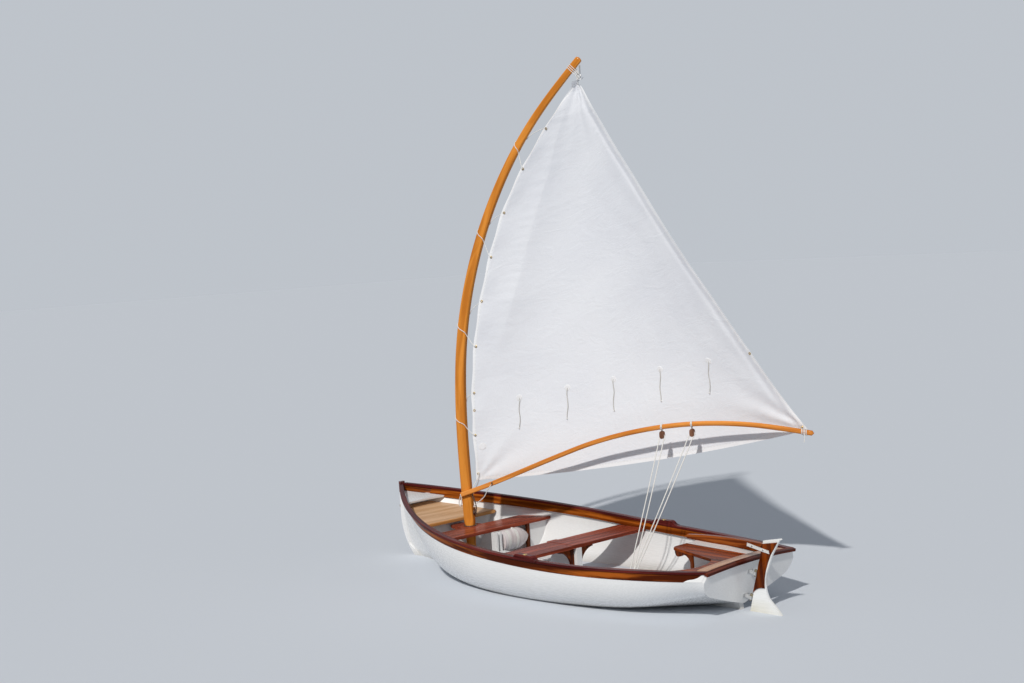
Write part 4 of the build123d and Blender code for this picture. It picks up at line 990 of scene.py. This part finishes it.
def near_luff(v):
    """A place on the line of the luff's eyelets, as two shares."""
    return EYELET_IN / sail_width(v)[0], v


def loop_at(middle, normal, radius, turns=16):
    """A closed round path about a middle, square to a direction."""
    first, second = across(unit(normal), (0.13, 0.37, 0.92))
    angles = circle(turns, closed=True)[:, None]
    return middle + radius * (np.cos(angles) * first + np.sin(angles) * second)


eyelet_places = [near_luff(v) for v in (*LACE_SHARES, 0.018)]
eyelet_places += [(1 - CLEW_IN / sail_width(0.010)[0], 0.010), near_luff(0.200), (0.975, 0.208)]
eyelet_skins = []
for u, v in eyelet_places:
    for face_side in (1, -1):
        middle, face = on_sail(u, v, EYELET_OFF * face_side)
        eyelet_skins.append(round_rings(loop_at(middle, face, EYELET_RADIUS), EYELET_WIRE, 6))
eyelets = skin("sail_eyelets", eyelet_skins, brass, "rig", caps=False)


def patch_mesh(name, places, steps=20):
    """Round patches on both faces of the sail. Each place is two shares and a size."""
    points, faces, cloth, edges = [], [], [], []
    for u, v, size in places:
        width, radius = sail_width(v)[0], PATCH_RADIUS * size
        for face_side in (1, -1):
            base = len(points)
            points.append(on_sail(u, v, PATCH_OFF * face_side)[0])
            cloth.append((0.5, 0.5))
            edges.append((radius, radius))
            for share in (0.5, 0.9, 1.0):
                lift = PATCH_OFF if share < 1 else PATCH_EDGE_OFF
                for angle in circle(steps):
                    side, rise_there = math.cos(angle) * radius * share, math.sin(angle) * radius * share
                    points.append(on_sail(u + side / width, v + rise_there / SAIL_RUN, lift * face_side)[0])
                    cloth.append((0.5 + side, 0.5 + rise_there))
                    edges.append((radius * (1 - share),) * 2)
            for step in range(steps):
                after = (step + 1) % steps
                faces.append((base, base + 1 + step, base + 1 + after))
                for low_row in (base + 1, base + 1 + steps):
                    high_row = low_row + steps
                    faces.append((low_row + step, high_row + step, high_row + after, low_row + after))
    return smooth_mesh(name, points, faces, {"cloth": cloth, "edges": edges})


patch_white = sewn("patch_white", (0.82, 0.82, 0.84), (0.70, 0.71, 0.76), 0.005)
patch_places = [(u, v, 1.0) for u, v in REEF_SHARES] + [TACK_PATCH]
patches = stand("reef_patches", patch_mesh("reef_patches", patch_places), patch_white, "rig", "sailcloth")
print("eyelets", len(eyelet_places), "patches", len(patch_places))

# %% [markdown]
# A reef point is a short rope through its patch, with an end hanging on each side of the sail. It is limp,
# so each end hangs plumb from its eyelet and stays close to the cloth. It is knotted against fraying.

# %% Reef points
REEF_ROPE, REEF_DROP, REEF_OFF = 0.0034, 0.235, 0.0058
reef_cord = roped("reef_cord", (0.62, 0.61, 0.58), (0.30, 0.29, 0.27), REEF_DROP)


def knot(name, middle, way, radius, body, turns=2.0):
    """A small overhand knot, as a short coil of rope drawn tight."""
    way = unit(way)
    first, second = across(way, (0.3, 0.9, 0.2))
    path = []
    for t in np.linspace(0, 1, 22):
        angle = t * turns * 2 * math.pi
        coil = math.cos(angle) * first + math.sin(angle) * second
        path.append(np.asarray(middle) + way * radius * (t - 0.5) * 2.4 + radius * 0.9 * coil)
    return skin(name, [round_rings(path, radius)], white_rope, body)


def plumb(u, v, drop, face_side):
    """A point of a cord that hangs plumb down the cloth from an eyelet, on one face of it."""
    start, spot_u, spot_v = on_sail(u, v)[0], u, v
    wander = 0.006 * math.sin(drop * 38 + u * 9)
    for _ in range(12):
        spot = on_sail(spot_u, spot_v)[0]
        aft_gap, up_gap = (spot - start) @ AFT_ALONG - wander, (spot - start) @ UPWARD + drop
        spot_u -= 0.9 * aft_gap / sail_width(spot_v)[0]
        spot_v -= 0.9 * up_gap / SAIL_RUN
    return on_sail(spot_u, spot_v, REEF_OFF * face_side)[0]


def cord_curve(name, line, radius):
    """A round cord as a smooth curve that starts and ends at the line's own ends."""
    curve = bpy.data.curves.new(name, "CURVE")
    curve.dimensions = "3D"
    curve.bevel_depth = radius
    curve.bevel_resolution = 3
    curve.use_fill_caps = True
    spline = curve.splines.new("NURBS")
    spline.points.add(len(line) - 1)
    for place, point in zip(spline.points, line):
        place.co = (*point, 1.0)
    spline.order_u = 3
    spline.use_endpoint_u = True
    return curve


reef_places = [(u, v, face_side) for u, v in REEF_SHARES for face_side in (1, -1)]
for index, (u, v, face_side) in enumerate(reef_places):
    line = [on_sail(u, v, EYELET_OFF * face_side)[0]]
    line += [plumb(u, v, drop, face_side) for drop in (0.012, 0.05, 0.10, 0.15, 0.20, REEF_DROP)]
    piece = stand(f"reef_point_{index}", cord_curve(f"reef_point_{index}", line, REEF_ROPE), reef_cord, "rig")
    tied = knot(f"reef_knot_{index}", line[-1] - UPWARD * 0.004, UPWARD, REEF_ROPE, "rig")
print("reef points", len(reef_places))

# %% [markdown]
# One thin line laces the sail to the mast. It goes from each eyelet round the mast and back to the next, so
# the rope is a row of points on the mast's own surface, a few millimetres off it, joined by a smooth curve.
# It is rigging under tension, not a free cord.

# %% Lacing
LACE, LACE_OFF = 0.0028, 0.0034
# Columns: upper eyelet, lower eyelet, heights at which the line leaves the mast's aft edge and comes back.
LACE_TURNS = [(7, 6, 3.353, 3.249), (5, 4, 2.724, 2.585), (3, 2, 2.027, 1.846), (1, 0, 1.329, 1.102)]
# Columns: angle round the mast, share of the way from where the line leaves it to where it comes back.
ROUND_MAST = [(-0.25, 0.0), (-1.0, 0.12), (-1.6, 0.25), (-2.2, 0.38), (-3.14, 0.52), (-3.9, 0.66),
              (-4.6, 0.78), (-5.3, 0.9), (-6.1, 1.0)]
lace_lines = []


def eyelet_place(index, off):
    return on_sail(*near_luff(LACE_SHARES[index]), off)[0]


for upper, lower, leave, back in LACE_TURNS:
    line = [eyelet_place(upper, 0.010), eyelet_place(upper, 0.0)]
    for angle, part in ROUND_MAST:
        line.append(mast_ring(mast_at(leave + (back - leave) * part), [angle], LACE_OFF)[0])
    line += [eyelet_place(lower, 0.004), eyelet_place(lower, -0.008)]
    lace_lines.append(line)
for upper, lower in ((6, 5), (4, 3), (2, 1)):
    first, last = eyelet_place(upper, -0.006), eyelet_place(lower, -0.006)
    t = np.linspace(0, 1, 7)[:, None]
    bowed = AFT_ALONG * 0.012 * np.sin(math.pi * t) - PORT_OF * 0.006
    lace_lines.append(first + (last - first) * t + bowed)
lacing = rope("sail_lacing", lace_lines, LACE, "rig")
print("lacing", len(lacing.data.polygons), "faces")

# %% [markdown]
# The other ropes of the rig are few: the tack is tied down to the boom, a loop holds the boom to the mast, a
# dark line hauls it down to a small cleat, the clew is lashed to the boom's end, and the head to the
# masthead. Each is a smooth line through a handful of points on the plane of the rig.

# %% Lashings
# Radii of the ropes, and how far a turn round the boom stands off it.
LASHING_ROPE, THIN_ROPE, NOTCH_ROPE, TACK_ROPE = 0.0034, 0.0026, 0.0036, 0.0030
HOLD_ROPE, HEAD_ROPE, DOWN_ROPE, LASHING_OFF = 0.0038, 0.0028, 0.0050, 0.0032
# The clew's place, and the heights of the loop round the mast and of the lowest turn at the head.
CLEW, BOOM_HOLD, HEAD_TURNS = (2.813, 1.108, 0.0), 0.566, 3.812


def around_boom(aft, tilt=0.0, grow=0.0, reach_to=None):
    """A loop round the boom at a distance aft. reach_to pulls one side of it out to another point."""
    angles, size = circle(16, closed=True), BOOM_SKIN + LASHING_OFF + grow
    loop = np.stack([tilt * np.cos(angles), size * np.sin(angles), size * np.cos(angles)], axis=1)
    loop += (aft, boom_height(aft), BOOM_SIDE)
    if reach_to is not None:
        loop[8] = reach_to
        loop = np.delete(loop, (7, 9), axis=0)
    return rigged(loop)


clew_tail = [(2.822, 1.085, 0.062), (2.826, 1.070, 0.066), (2.823, 1.045, 0.064), (2.820, 1.022, 0.066)]
clew_lines = [around_boom(2.800 + 0.011 * k, 0.004, 0.001 * (k % 2), np.add(CLEW, (0.0, -0.004 * k, -0.006)))
              for k in range(4)]
rope("clew_lashing", clew_lines + [rigged(clew_tail)], LASHING_ROPE, "rig")
groove_aft = BOOM_START[0] + rise[0] * GROOVE
groove_lines = [around_boom(groove_aft + 0.004 * k, 0.002, -0.006) for k in (-1, 1)]
rope("groove_lashing", groove_lines, THIN_ROPE, "rig", dark_rope)
notch_line = [(groove_aft, 0.655, 0.062), (0.215, 0.615, 0.058), (0.180, 0.566, 0.045), (0.123, 0.519, 0.030),
              (0.075, 0.487, 0.020), (0.048, 0.465, 0.012)]
rope("boom_lashing", [rigged(notch_line)], NOTCH_ROPE, "rig")
tack = on_sail(0.006, 0.018)[0]
tack_turns = [(0.084, 0.655, 0.030), (0.076, 0.632, 0.046), (0.072, 0.610, 0.052), (0.066, 0.590, 0.040),
              (0.070, 0.600, 0.022)]
tack_line = [tack + UPWARD * 0.010 + PORT_OF * 0.006, tack + PORT_OF * 0.010, *rigged(tack_turns),
             tack - PORT_OF * 0.008 - UPWARD * 0.01]
rope("tack_line", [tack_line], TACK_ROPE, "rig")
hold = [*rigged([(-0.036, BOOM_HOLD, BOOM_SIDE + 0.021), (-0.050, BOOM_HOLD, 0.040)]),
        *mast_ring(mast_at(BOOM_HOLD), np.linspace(2.7, 5.9, 12), 0.004),
        *rigged([(0.056, 0.590, 0.010), (0.070, 0.608, 0.020)])]
hanging = [(-0.052, 0.566, 0.014), (-0.066, 0.550, 0.010), (-0.084, 0.510, 0.006), (-0.088, 0.478, 0.004),
           (-0.078, 0.462, 0.004), (-0.066, 0.480, 0.006), (-0.062, 0.515, 0.008), (-0.058, 0.552, 0.010)]
rope("boom_loop", [hold, rigged(hanging)], HOLD_ROPE, "rig")
down_line = [(0.046, 0.570, 0.020), (0.060, 0.535, 0.020), (0.070, 0.490, 0.016), (0.074, 0.455, 0.014),
             (0.066, 0.432, 0.014)]
down_lines = [rigged(down_line)]
for angle in (0.2, 1.6, 2.9):
    lift, out = 0.014 * math.cos(angle), 0.008 * math.sin(angle)
    first, last = rigged([(0.050, 0.420 + lift, 0.020 + out), (0.074, 0.424 - lift, 0.012)])
    down_lines.append([first, (first + last) / 2 + PORT_OF * 0.006, last])
rope("downhaul", down_lines, DOWN_ROPE, "rig", dark_rope)
head_lines = []
for k in range(3):
    leaving = [(1.166, 3.722, 0.006 - 0.006 * k), (1.172 + 0.004 * k, 3.745, 0.012 - 0.010 * k)]
    round_head = mast_ring(mast_at(HEAD_TURNS + 0.010 * k), [0.5, 1.6, 2.6, 3.7, 4.7, 5.7], 0.003)
    coming = [(1.180, 3.765, -0.006), (1.170, 3.728, -0.008 + 0.004 * k)]
    head_lines.append([*rigged(leaving), *round_head, *rigged(coming)])
rope("head_lashing", head_lines, HEAD_ROPE, "rig")

# %% [markdown]
# A small wooden cleat on the mast takes the downhaul. It is a short bar with raised horns, so its rings rise
# and thin out towards both ends.

# %% Mast cleat
CLEAT_HEIGHT, CLEAT_HALF, CLEAT_THICK, POST_THICK = 0.420, 0.038, 0.0062, 0.009
cleat_middle = mast_ring(mast_at(CLEAT_HEIGHT), [0.0])[0]
cleat_out = AFT_ALONG * 0.9 + PORT_OF * 0.2
along_bar = np.linspace(-1, 1, 15)
bar = [cleat_middle + UPWARD * CLEAT_HALF * part + cleat_out * (0.010 + 0.007 * part ** 2)
       for part in along_bar]
bar_sizes = CLEAT_THICK * np.sqrt(np.maximum(1 - along_bar ** 4, 0.05))
post = [cleat_middle - cleat_out * 0.004, cleat_middle + cleat_out * 0.012]
skin("mast_cleat", [round_rings(bar, bar_sizes, 10), round_rings(post, POST_THICK, 10)], block_wood, "rig")
print("cleat at", cleat_middle.round(3))

# %% [markdown]
# The mainsheet runs from the block on the keelson up to two blocks under the boom and back, four falls of
# soft white rope. Its lower end stays with the hull while its upper end swings with the rig, and here it
# stands on neither body, drawn for the boom where it is.

# %% Mainsheet
SHEET_ROPE, SHEAVE, FALL_SAG = 0.0042, 0.0185, 0.010
# The blocks' distances aft of the mast, and how far their pins lie below the boom.
BLOCK_PLACES, PIN_DROP = (1.725, 1.965), 0.0553
base_low, base_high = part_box("lower_sheet_block")
lower_sheave = np.array([(base_low[0] + base_high[0]) / 2, 0.0, -0.020])


def fall(first, last, shares):
    """A rope between two points that sags a little."""
    return [first + (last - first) * t - UPWARD * FALL_SAG * math.sin(math.pi * t) for t in shares]


falls = []
for index, aft in enumerate(BLOCK_PLACES):
    pin_height = boom_height(aft) - BOOM_RADIUS - PIN_DROP
    over = rigged([(aft + SHEAVE * math.cos(a), pin_height + SHEAVE * math.sin(a), BOOM_SIDE)
                   for a in np.linspace(math.pi, 0, 9)])
    fore_foot = lower_sheave + (0.016 - 0.006 * index, -0.004 + 0.008 * index, 0.004)
    aft_foot = lower_sheave + (-0.018 + 0.006 * index, -0.004 + 0.008 * index, 0.004)
    falls.append(fall(fore_foot, over[0], np.linspace(0, 0.98, 16)) + list(over)
                 + fall(over[-1], aft_foot, np.linspace(0.02, 1, 16)))
mainsheet = rope("mainsheet", falls, SHEET_ROPE, None)
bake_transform(mainsheet)
strops = [around_boom(aft + 0.004 * k, 0.002) for aft in BLOCK_PLACES for k in (-1, 1)]
rope("block_strops", strops, LASHING_ROPE, "rig")
turn_low = [lower_sheave + (SHEAVE * math.cos(a), 0.0, SHEAVE * math.sin(a))
            for a in np.linspace(0.2, -3.34, 12)]
rope("sheet_turn", [turn_low], SHEET_ROPE, "hull")
print("mainsheet falls", len(falls) * 2)

# %% [markdown]
# Two mahogany cheeks stiffen the head of the rudder. They stop a few millimetres inside the white blade's
# aft edge, so that edge shows as a thin white line, and their outer edges are rounded over. The plain solids
# reach past that edge, so these take their place.

# %% Rudder cheeks
BLADE_HALF, CHEEK_THICK, CHEEK_ROUND = 0.0084, 0.0104, 0.004
# Columns: X, height, of the cheek's outline, from the foot of its front edge round by the head.
CHEEK_LINE = [(-1.857, 0.130), (-1.958, 0.470), (-2.030, 0.482), (-2.076, 0.490), (-2.060, 0.465),
              (-2.018, 0.404), (-1.992, 0.348), (-1.971, 0.291), (-1.958, 0.240), (-1.954, 0.195),
              (-1.954, 0.170), (-1.930, 0.170), (-1.900, 0.163), (-1.874, 0.148)]


def inset_line(points, inset):
    """A closed outline moved inward by a distance."""
    points = np.array(points)
    before, after = np.roll(points, 1, axis=0), np.roll(points, -1, axis=0)
    way = after - before
    way /= np.linalg.norm(way, axis=1)[:, None]
    inward = np.stack([-way[:, 1], way[:, 0]], axis=1)
    centre = points.mean(axis=0)
    if ((centre - points) * inward).sum() < 0:
        inward = -inward
    return points + inward * inset


for side_name, side in (("port", 1), ("starboard", -1)):
    square = CHEEK_THICK - CHEEK_ROUND
    layers = [(0.0, 0.0), (square, 0.0)]
    for angle in (0.5, 1.0, 1.57):
        layers.append((square + CHEEK_ROUND * math.sin(angle), CHEEK_ROUND * (1 - math.cos(angle))))
    rings = [[(x, side * (BLADE_HALF + out), z) for x, z in inset_line(CHEEK_LINE, inset)]
             for out, inset in layers]
    cheek = skin(f"cheek_{side_name}", [rings], rudder_wood, "rudder", "mahogany")
    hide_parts(f"rudder_cheek_{side_name}")
print("cheeks", CHEEK_THICK * 1000, "mm thick")

# %% [markdown]
# A buoyancy roll is strapped under the mast thwart. It is coated cloth round foam, firm, with a flat inner
# end and a rounded outer one. Its skin shows shallow ribs where the cloth is drawn together, and two webbing
# bands hold it up to the thwart.

# %% Buoyancy roll
roll_low, roll_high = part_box("buoyancy_roll")
roll_middle = np.array([(roll_low[0] + roll_high[0]) / 2, 0.0, (roll_low[2] + roll_high[2]) / 2])
ROLL_RADIUS = (roll_high[2] - roll_low[2]) / 2 - 0.0015
roll_start, roll_end = -roll_high[1], -roll_low[1]
# Length of its tapered end, how much that narrows, share of the rounded rim, and the ribs' step and depth.
ROLL_TIP, TIP_NARROWS, ROLL_RIM, RIB_STEP, RIB_DEPTH = 0.150, 0.86, 0.014, 0.052, 0.014
roll_rings = []
roll_angles = circle(48)
for share_out in np.r_[0.0, 0.002, 0.006, ROLL_RIM, np.linspace(0.03, 1, 60)]:
    out = roll_start + (roll_end - roll_start) * share_out
    tip_share = max((out - (roll_end - ROLL_TIP)) / ROLL_TIP, 0.0)
    size = ROLL_RADIUS * (1 - TIP_NARROWS * tip_share ** 2.1)
    if share_out < ROLL_RIM:
        size *= 0.90 + 0.10 * share_out / ROLL_RIM
    ribs = 1 + 0.010 * np.sin(roll_angles + 7.0)
    ribs -= RIB_DEPTH * abs(math.sin(out * 2 * math.pi / RIB_STEP)) ** 6
    pleats = 1 - 0.03 * tip_share * np.abs(np.sin(roll_angles * 6)) ** 0.5
    reach_out = size * ribs * pleats * 0.996
    roll_rings.append(np.stack([roll_middle[0] + np.cos(roll_angles) * reach_out, np.full(48, -out),
                                roll_middle[2] + np.sin(roll_angles) * reach_out], axis=1))
roll_cloth, tree, shader, bump = start_material("roll_cloth", 0.0010, 0.5)
group = put(tree, WEAR, {"Vector": stretch(object_place(tree), (1.0, 6.0, 1.0)),
                         "Fresh": (0.74, 0.69, 0.69, 1), "Worn": (0.52, 0.44, 0.44, 1), "Grain": 5.0})
finish_with(group, shader, bump, Sheen_Weight=0.1)
roll = skin("roll_skin", [roll_rings], roll_cloth, "hull", "roll_cloth", around=0.55)
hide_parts("buoyancy_roll")
BAND_HALF, BAND_THICK, BAND_OFF = 0.012, 0.0016, 0.0008
band_section = [(-BAND_HALF, 0.0), (BAND_HALF, 0.0), (BAND_HALF, BAND_THICK), (-BAND_HALF, BAND_THICK)]
band_skins = []
for out in (roll_start + 0.05, roll_start + 0.135):
    band = []
    for angle in np.linspace(math.radians(112), math.radians(428), 40):
        way = np.array([math.cos(angle), 0.0, math.sin(angle)])
        band.append([roll_middle + way * (ROLL_RADIUS + BAND_OFF + lift) + (0.0, y - out, 0.0)
                     for y, lift in band_section])
    band_skins.append(band)
webbing = worn("webbing", (0.80, 0.79, 0.76), (0.62, 0.60, 0.57), 0.0, 120.0, 0.0006, 0.6)
skin("roll_straps", band_skins, webbing, "hull")
knot("strap_knot", (0.694, -0.187, 0.2800), (0.3, 0.8, 0.1), 0.0058, "hull", 2.4)
print("roll radius", round(ROLL_RADIUS, 3), "from", round(roll_start, 3), "to", round(roll_end, 3))

# %% [markdown]
# The mast turns in a leather collar on the thwart. Leather that has been wetted and nailed round a hole isn't
# a flat washer: its rim curls up a little and its edge waves.

# %% Leather collar
collar_low, collar_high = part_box("mast_collar")
COLLAR_IN, COLLAR_OUT = 0.0409, (collar_high[0] - collar_low[0]) / 2
low_z, thick = collar_low[2] + 0.0002, collar_high[2] - collar_low[2]
collar_rings = []
for angle in circle(72, closed=True):
    way = np.array([math.cos(angle), math.sin(angle), 0.0])
    edge = COLLAR_OUT - 0.0016 + 0.0011 * math.sin(angle * 5) + 0.0006 * math.sin(angle * 11 + 1)
    profile = [(COLLAR_IN, 0.0), (edge - 0.002, 0.0), (edge, 0.35), (edge - 0.001, 0.85),
               (edge - 0.004, 0.80), (edge - 0.0055, 0.60), (edge - 0.007, 0.80),
               (COLLAR_IN + 0.002, 0.95), (COLLAR_IN, 0.7)]
    collar_rings.append([MAST_FOOT + way * out + UPWARD * (low_z + thick * up) for out, up in profile])
collar = skin("leather_collar", [collar_rings], leather, "hull", "collar_leather", caps=False)
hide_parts("mast_collar")
NAIL_CIRCLE, NAIL_HEIGHT = 0.0485, collar_high[2] - 0.0006
nails = [(MAST_FOOT + (NAIL_CIRCLE * math.cos(a), NAIL_CIRCLE * math.sin(a), NAIL_HEIGHT), UPWARD)
         for a in circle(10)]
studs("collar_nails", nails, 0.0022, 0.0012, "hull", brass)
print("collar", round(COLLAR_OUT * 2000), "mm across")

# %% [markdown]
# The tan lid in the bow has a rounded nosing along its aft edge. It covers the plywood's raw edge, so it is a
# little taller than the board and stands just proud of it.

# %% Lid nosing
lid_low, lid_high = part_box("bow_lid")
NOSING_TOP, NOSING_HALF = 0.3565, 0.409
NOSING_PROFILE = [(-0.016, -0.023), (-0.016, -0.004), (-0.013, 0.0005), (-0.004, 0.0015), (0.0, 0.0012),
                  (0.0, -0.0235)]
nosing_rings = []
for y in np.linspace(-NOSING_HALF, NOSING_HALF, 40):
    ease = 1 - 0.35 * max(abs(y) / NOSING_HALF - 0.97, 0) / 0.03
    nosing_rings.append([(lid_low[0] + 0.0005 + x * ease, y, NOSING_TOP + z * ease)
                         for x, z in NOSING_PROFILE])
skin("lid_nosing", [nosing_rings], nosing_wood, "hull", "mahogany", around=0.08)
print("lid aft edge", round(lid_low[0], 3), "top", round(lid_high[2], 3))

# %% [markdown]
# Two pieces of trim finish the stern. Behind the bench a tan ledge in two boards lies inside the transom's
# cap, and white margin boards close the bench against the planking on both sides. The ledge follows the
# cap's arch and the margins follow the bench's edge, so both are thin skins over rows of small rings.

# %% Stern trim
LEDGE_HALF, LEDGE_SEAM, SEAM_HALF = 0.420, 0.160, 0.002
LEDGE_PROFILE = [(0.0, -0.014), (0.0, 0.0), (0.091, 0.0), (0.095, -0.003), (0.095, -0.011), (0.091, -0.014)]
# The ledge's place in the middle of the boat, how it follows the arched cap, and the half width of that arch.
LEDGE_AFT, LEDGE_TOP, LEDGE_RAKE, LEDGE_DROP, ARCH_HALF = -1.829, 0.362, 0.006, 0.021, 0.47
MARGIN_LOW, MARGIN_TOP = -0.001, 0.003       # heights of a margin's two faces over the bench
# Columns: X, half width of the bench, half width inside the margin.
MARGIN_LINE = [(-1.800, 0.460, 0.385), (-1.706, 0.494, 0.413), (-1.599, 0.532, 0.445), (-1.506, 0.563, 0.472),
               (-1.405, 0.592, 0.490), (-1.292, 0.622, 0.503), (-1.151, 0.655, 0.520), (-1.017, 0.682, 0.535),
               (-0.889, 0.703, 0.550), (-0.806, 0.714, 0.560)]


def ledge_board(start, end):
    """Rings of one board of the ledge, from one side of the boat to the other."""
    rings = []
    for y in np.linspace(start, end, 24):
        arched = (y / ARCH_HALF) ** 2
        back, top = LEDGE_AFT + LEDGE_RAKE * arched, LEDGE_TOP - LEDGE_DROP * arched
        rings.append([(back + x, y, top + z) for x, z in LEDGE_PROFILE])
    return rings


def margin_board(side):
    bench_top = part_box("stern_bench")[1][2]
    rings = []
    for x, outer, inner in MARGIN_LINE:
        first, last = (outer, inner) if side > 0 else (-inner, -outer)
        section = ((first, MARGIN_LOW), (first, MARGIN_TOP), (last, MARGIN_TOP), (last, MARGIN_LOW))
        rings.append([(x, y, bench_top + z) for y, z in section])
    return rings


ledge_boards = [ledge_board(-LEDGE_HALF, LEDGE_SEAM - SEAM_HALF),
                ledge_board(LEDGE_SEAM + SEAM_HALF, LEDGE_HALF)]
skin("stern_ledge", ledge_boards, ledge_wood, "hull", "mahogany", around=0.18)
skin("bench_margins", [margin_board(1), margin_board(-1)], trim_white, "hull", around=0.2)
print("ledge", round(2 * LEDGE_HALF, 2), "m long, margins",
      round(MARGIN_LINE[-1][0] - MARGIN_LINE[0][0], 2), "m")

# %% [markdown]
# Fastenings come last, because each is placed on a piece that is already there: bolts through the tiller's
# straps and the rudder's cheeks, wooden plugs over the screws in the seats, screws in the floorboards, and a
# brass plate round each rowlock socket.

# %% Fastenings
# The X of the transom, from which the lengths below are measured, and the Y of the tiller strap's face.
STERN, STRAP_FACE = -1.830, 0.0233
# Heights of the faces that the others stand on.
MAST_SEAT, MIDDLE_SEAT, BENCH, FLOOR, PAD = 0.310, 0.282, 0.252, -0.030, 0.364
bolt_places = [((STERN + x, STRAP_FACE * side, z), (0, side, 0))
               for side in (1, -1) for x, z in ((-0.045, 0.4465), (-0.135, 0.4285))]
studs("strap_bolts", bolt_places, 0.0062, 0.0042, "rudder", steel)
BENCH_PLUGS = [(0.25, 0.40), (0.45, 0.49), (0.65, 0.54), (0.85, 0.57), (0.97, 0.58)]
plugs = [(x, y, MAST_SEAT) for y in (-0.50, -0.44, 0.44, 0.50) for x in (2.565, 2.750)]
plugs += [(x, y, MIDDLE_SEAT) for y in (-0.66, -0.60, -0.085, 0.085, 0.60, 0.66) for x in (1.640, 1.830)]
plugs += [(x, side * y, BENCH) for side in (-1, 1) for x, y in BENCH_PLUGS]
studs("seat_plugs", [((STERN + x, y, z), UPWARD) for x, y, z in plugs], 0.0065, 0.0006, "hull", cap_wood)
# Each floorboard has two screws in a row across the boat. The aftmost row is shorter than the others.
BOARD_START, BOARD_STEP, AFT_ROW_HALF = 0.034, 0.106, 0.36
screws = []
for x in (0.794, 1.244, 2.144, 2.470):
    for y in [BOARD_START + row * BOARD_STEP + inset for row in range(4) for inset in (0.020, 0.072)]:
        if y < AFT_ROW_HALF or x > 1.0:
            screws += [((STERN + x, side * y, FLOOR), UPWARD) for side in (1, -1)]
studs("floor_screws", screws, 0.0038, 0.0008, "hull", brass)
# Columns: radius, height over the pad, of a socket plate's section.
PLATE_SECTION = [(0.0072, -0.004), (0.0072, 0.0016), (0.0085, 0.0022), (0.0165, 0.0016), (0.0175, -0.001)]
SOCKET_X, SOCKET_Y = -0.430, 0.738
plate_skins = [[[(SOCKET_X + r * math.cos(a), side * SOCKET_Y + r * math.sin(a), PAD + z)
                 for r, z in PLATE_SECTION] for a in circle(32, closed=True)] for side in (1, -1)]
skin("socket_plates", plate_skins, brass, "hull", caps=False)
print("fastenings", len(bolt_places) + len(plugs) + len(screws))

# %% [markdown]

print("sail built")
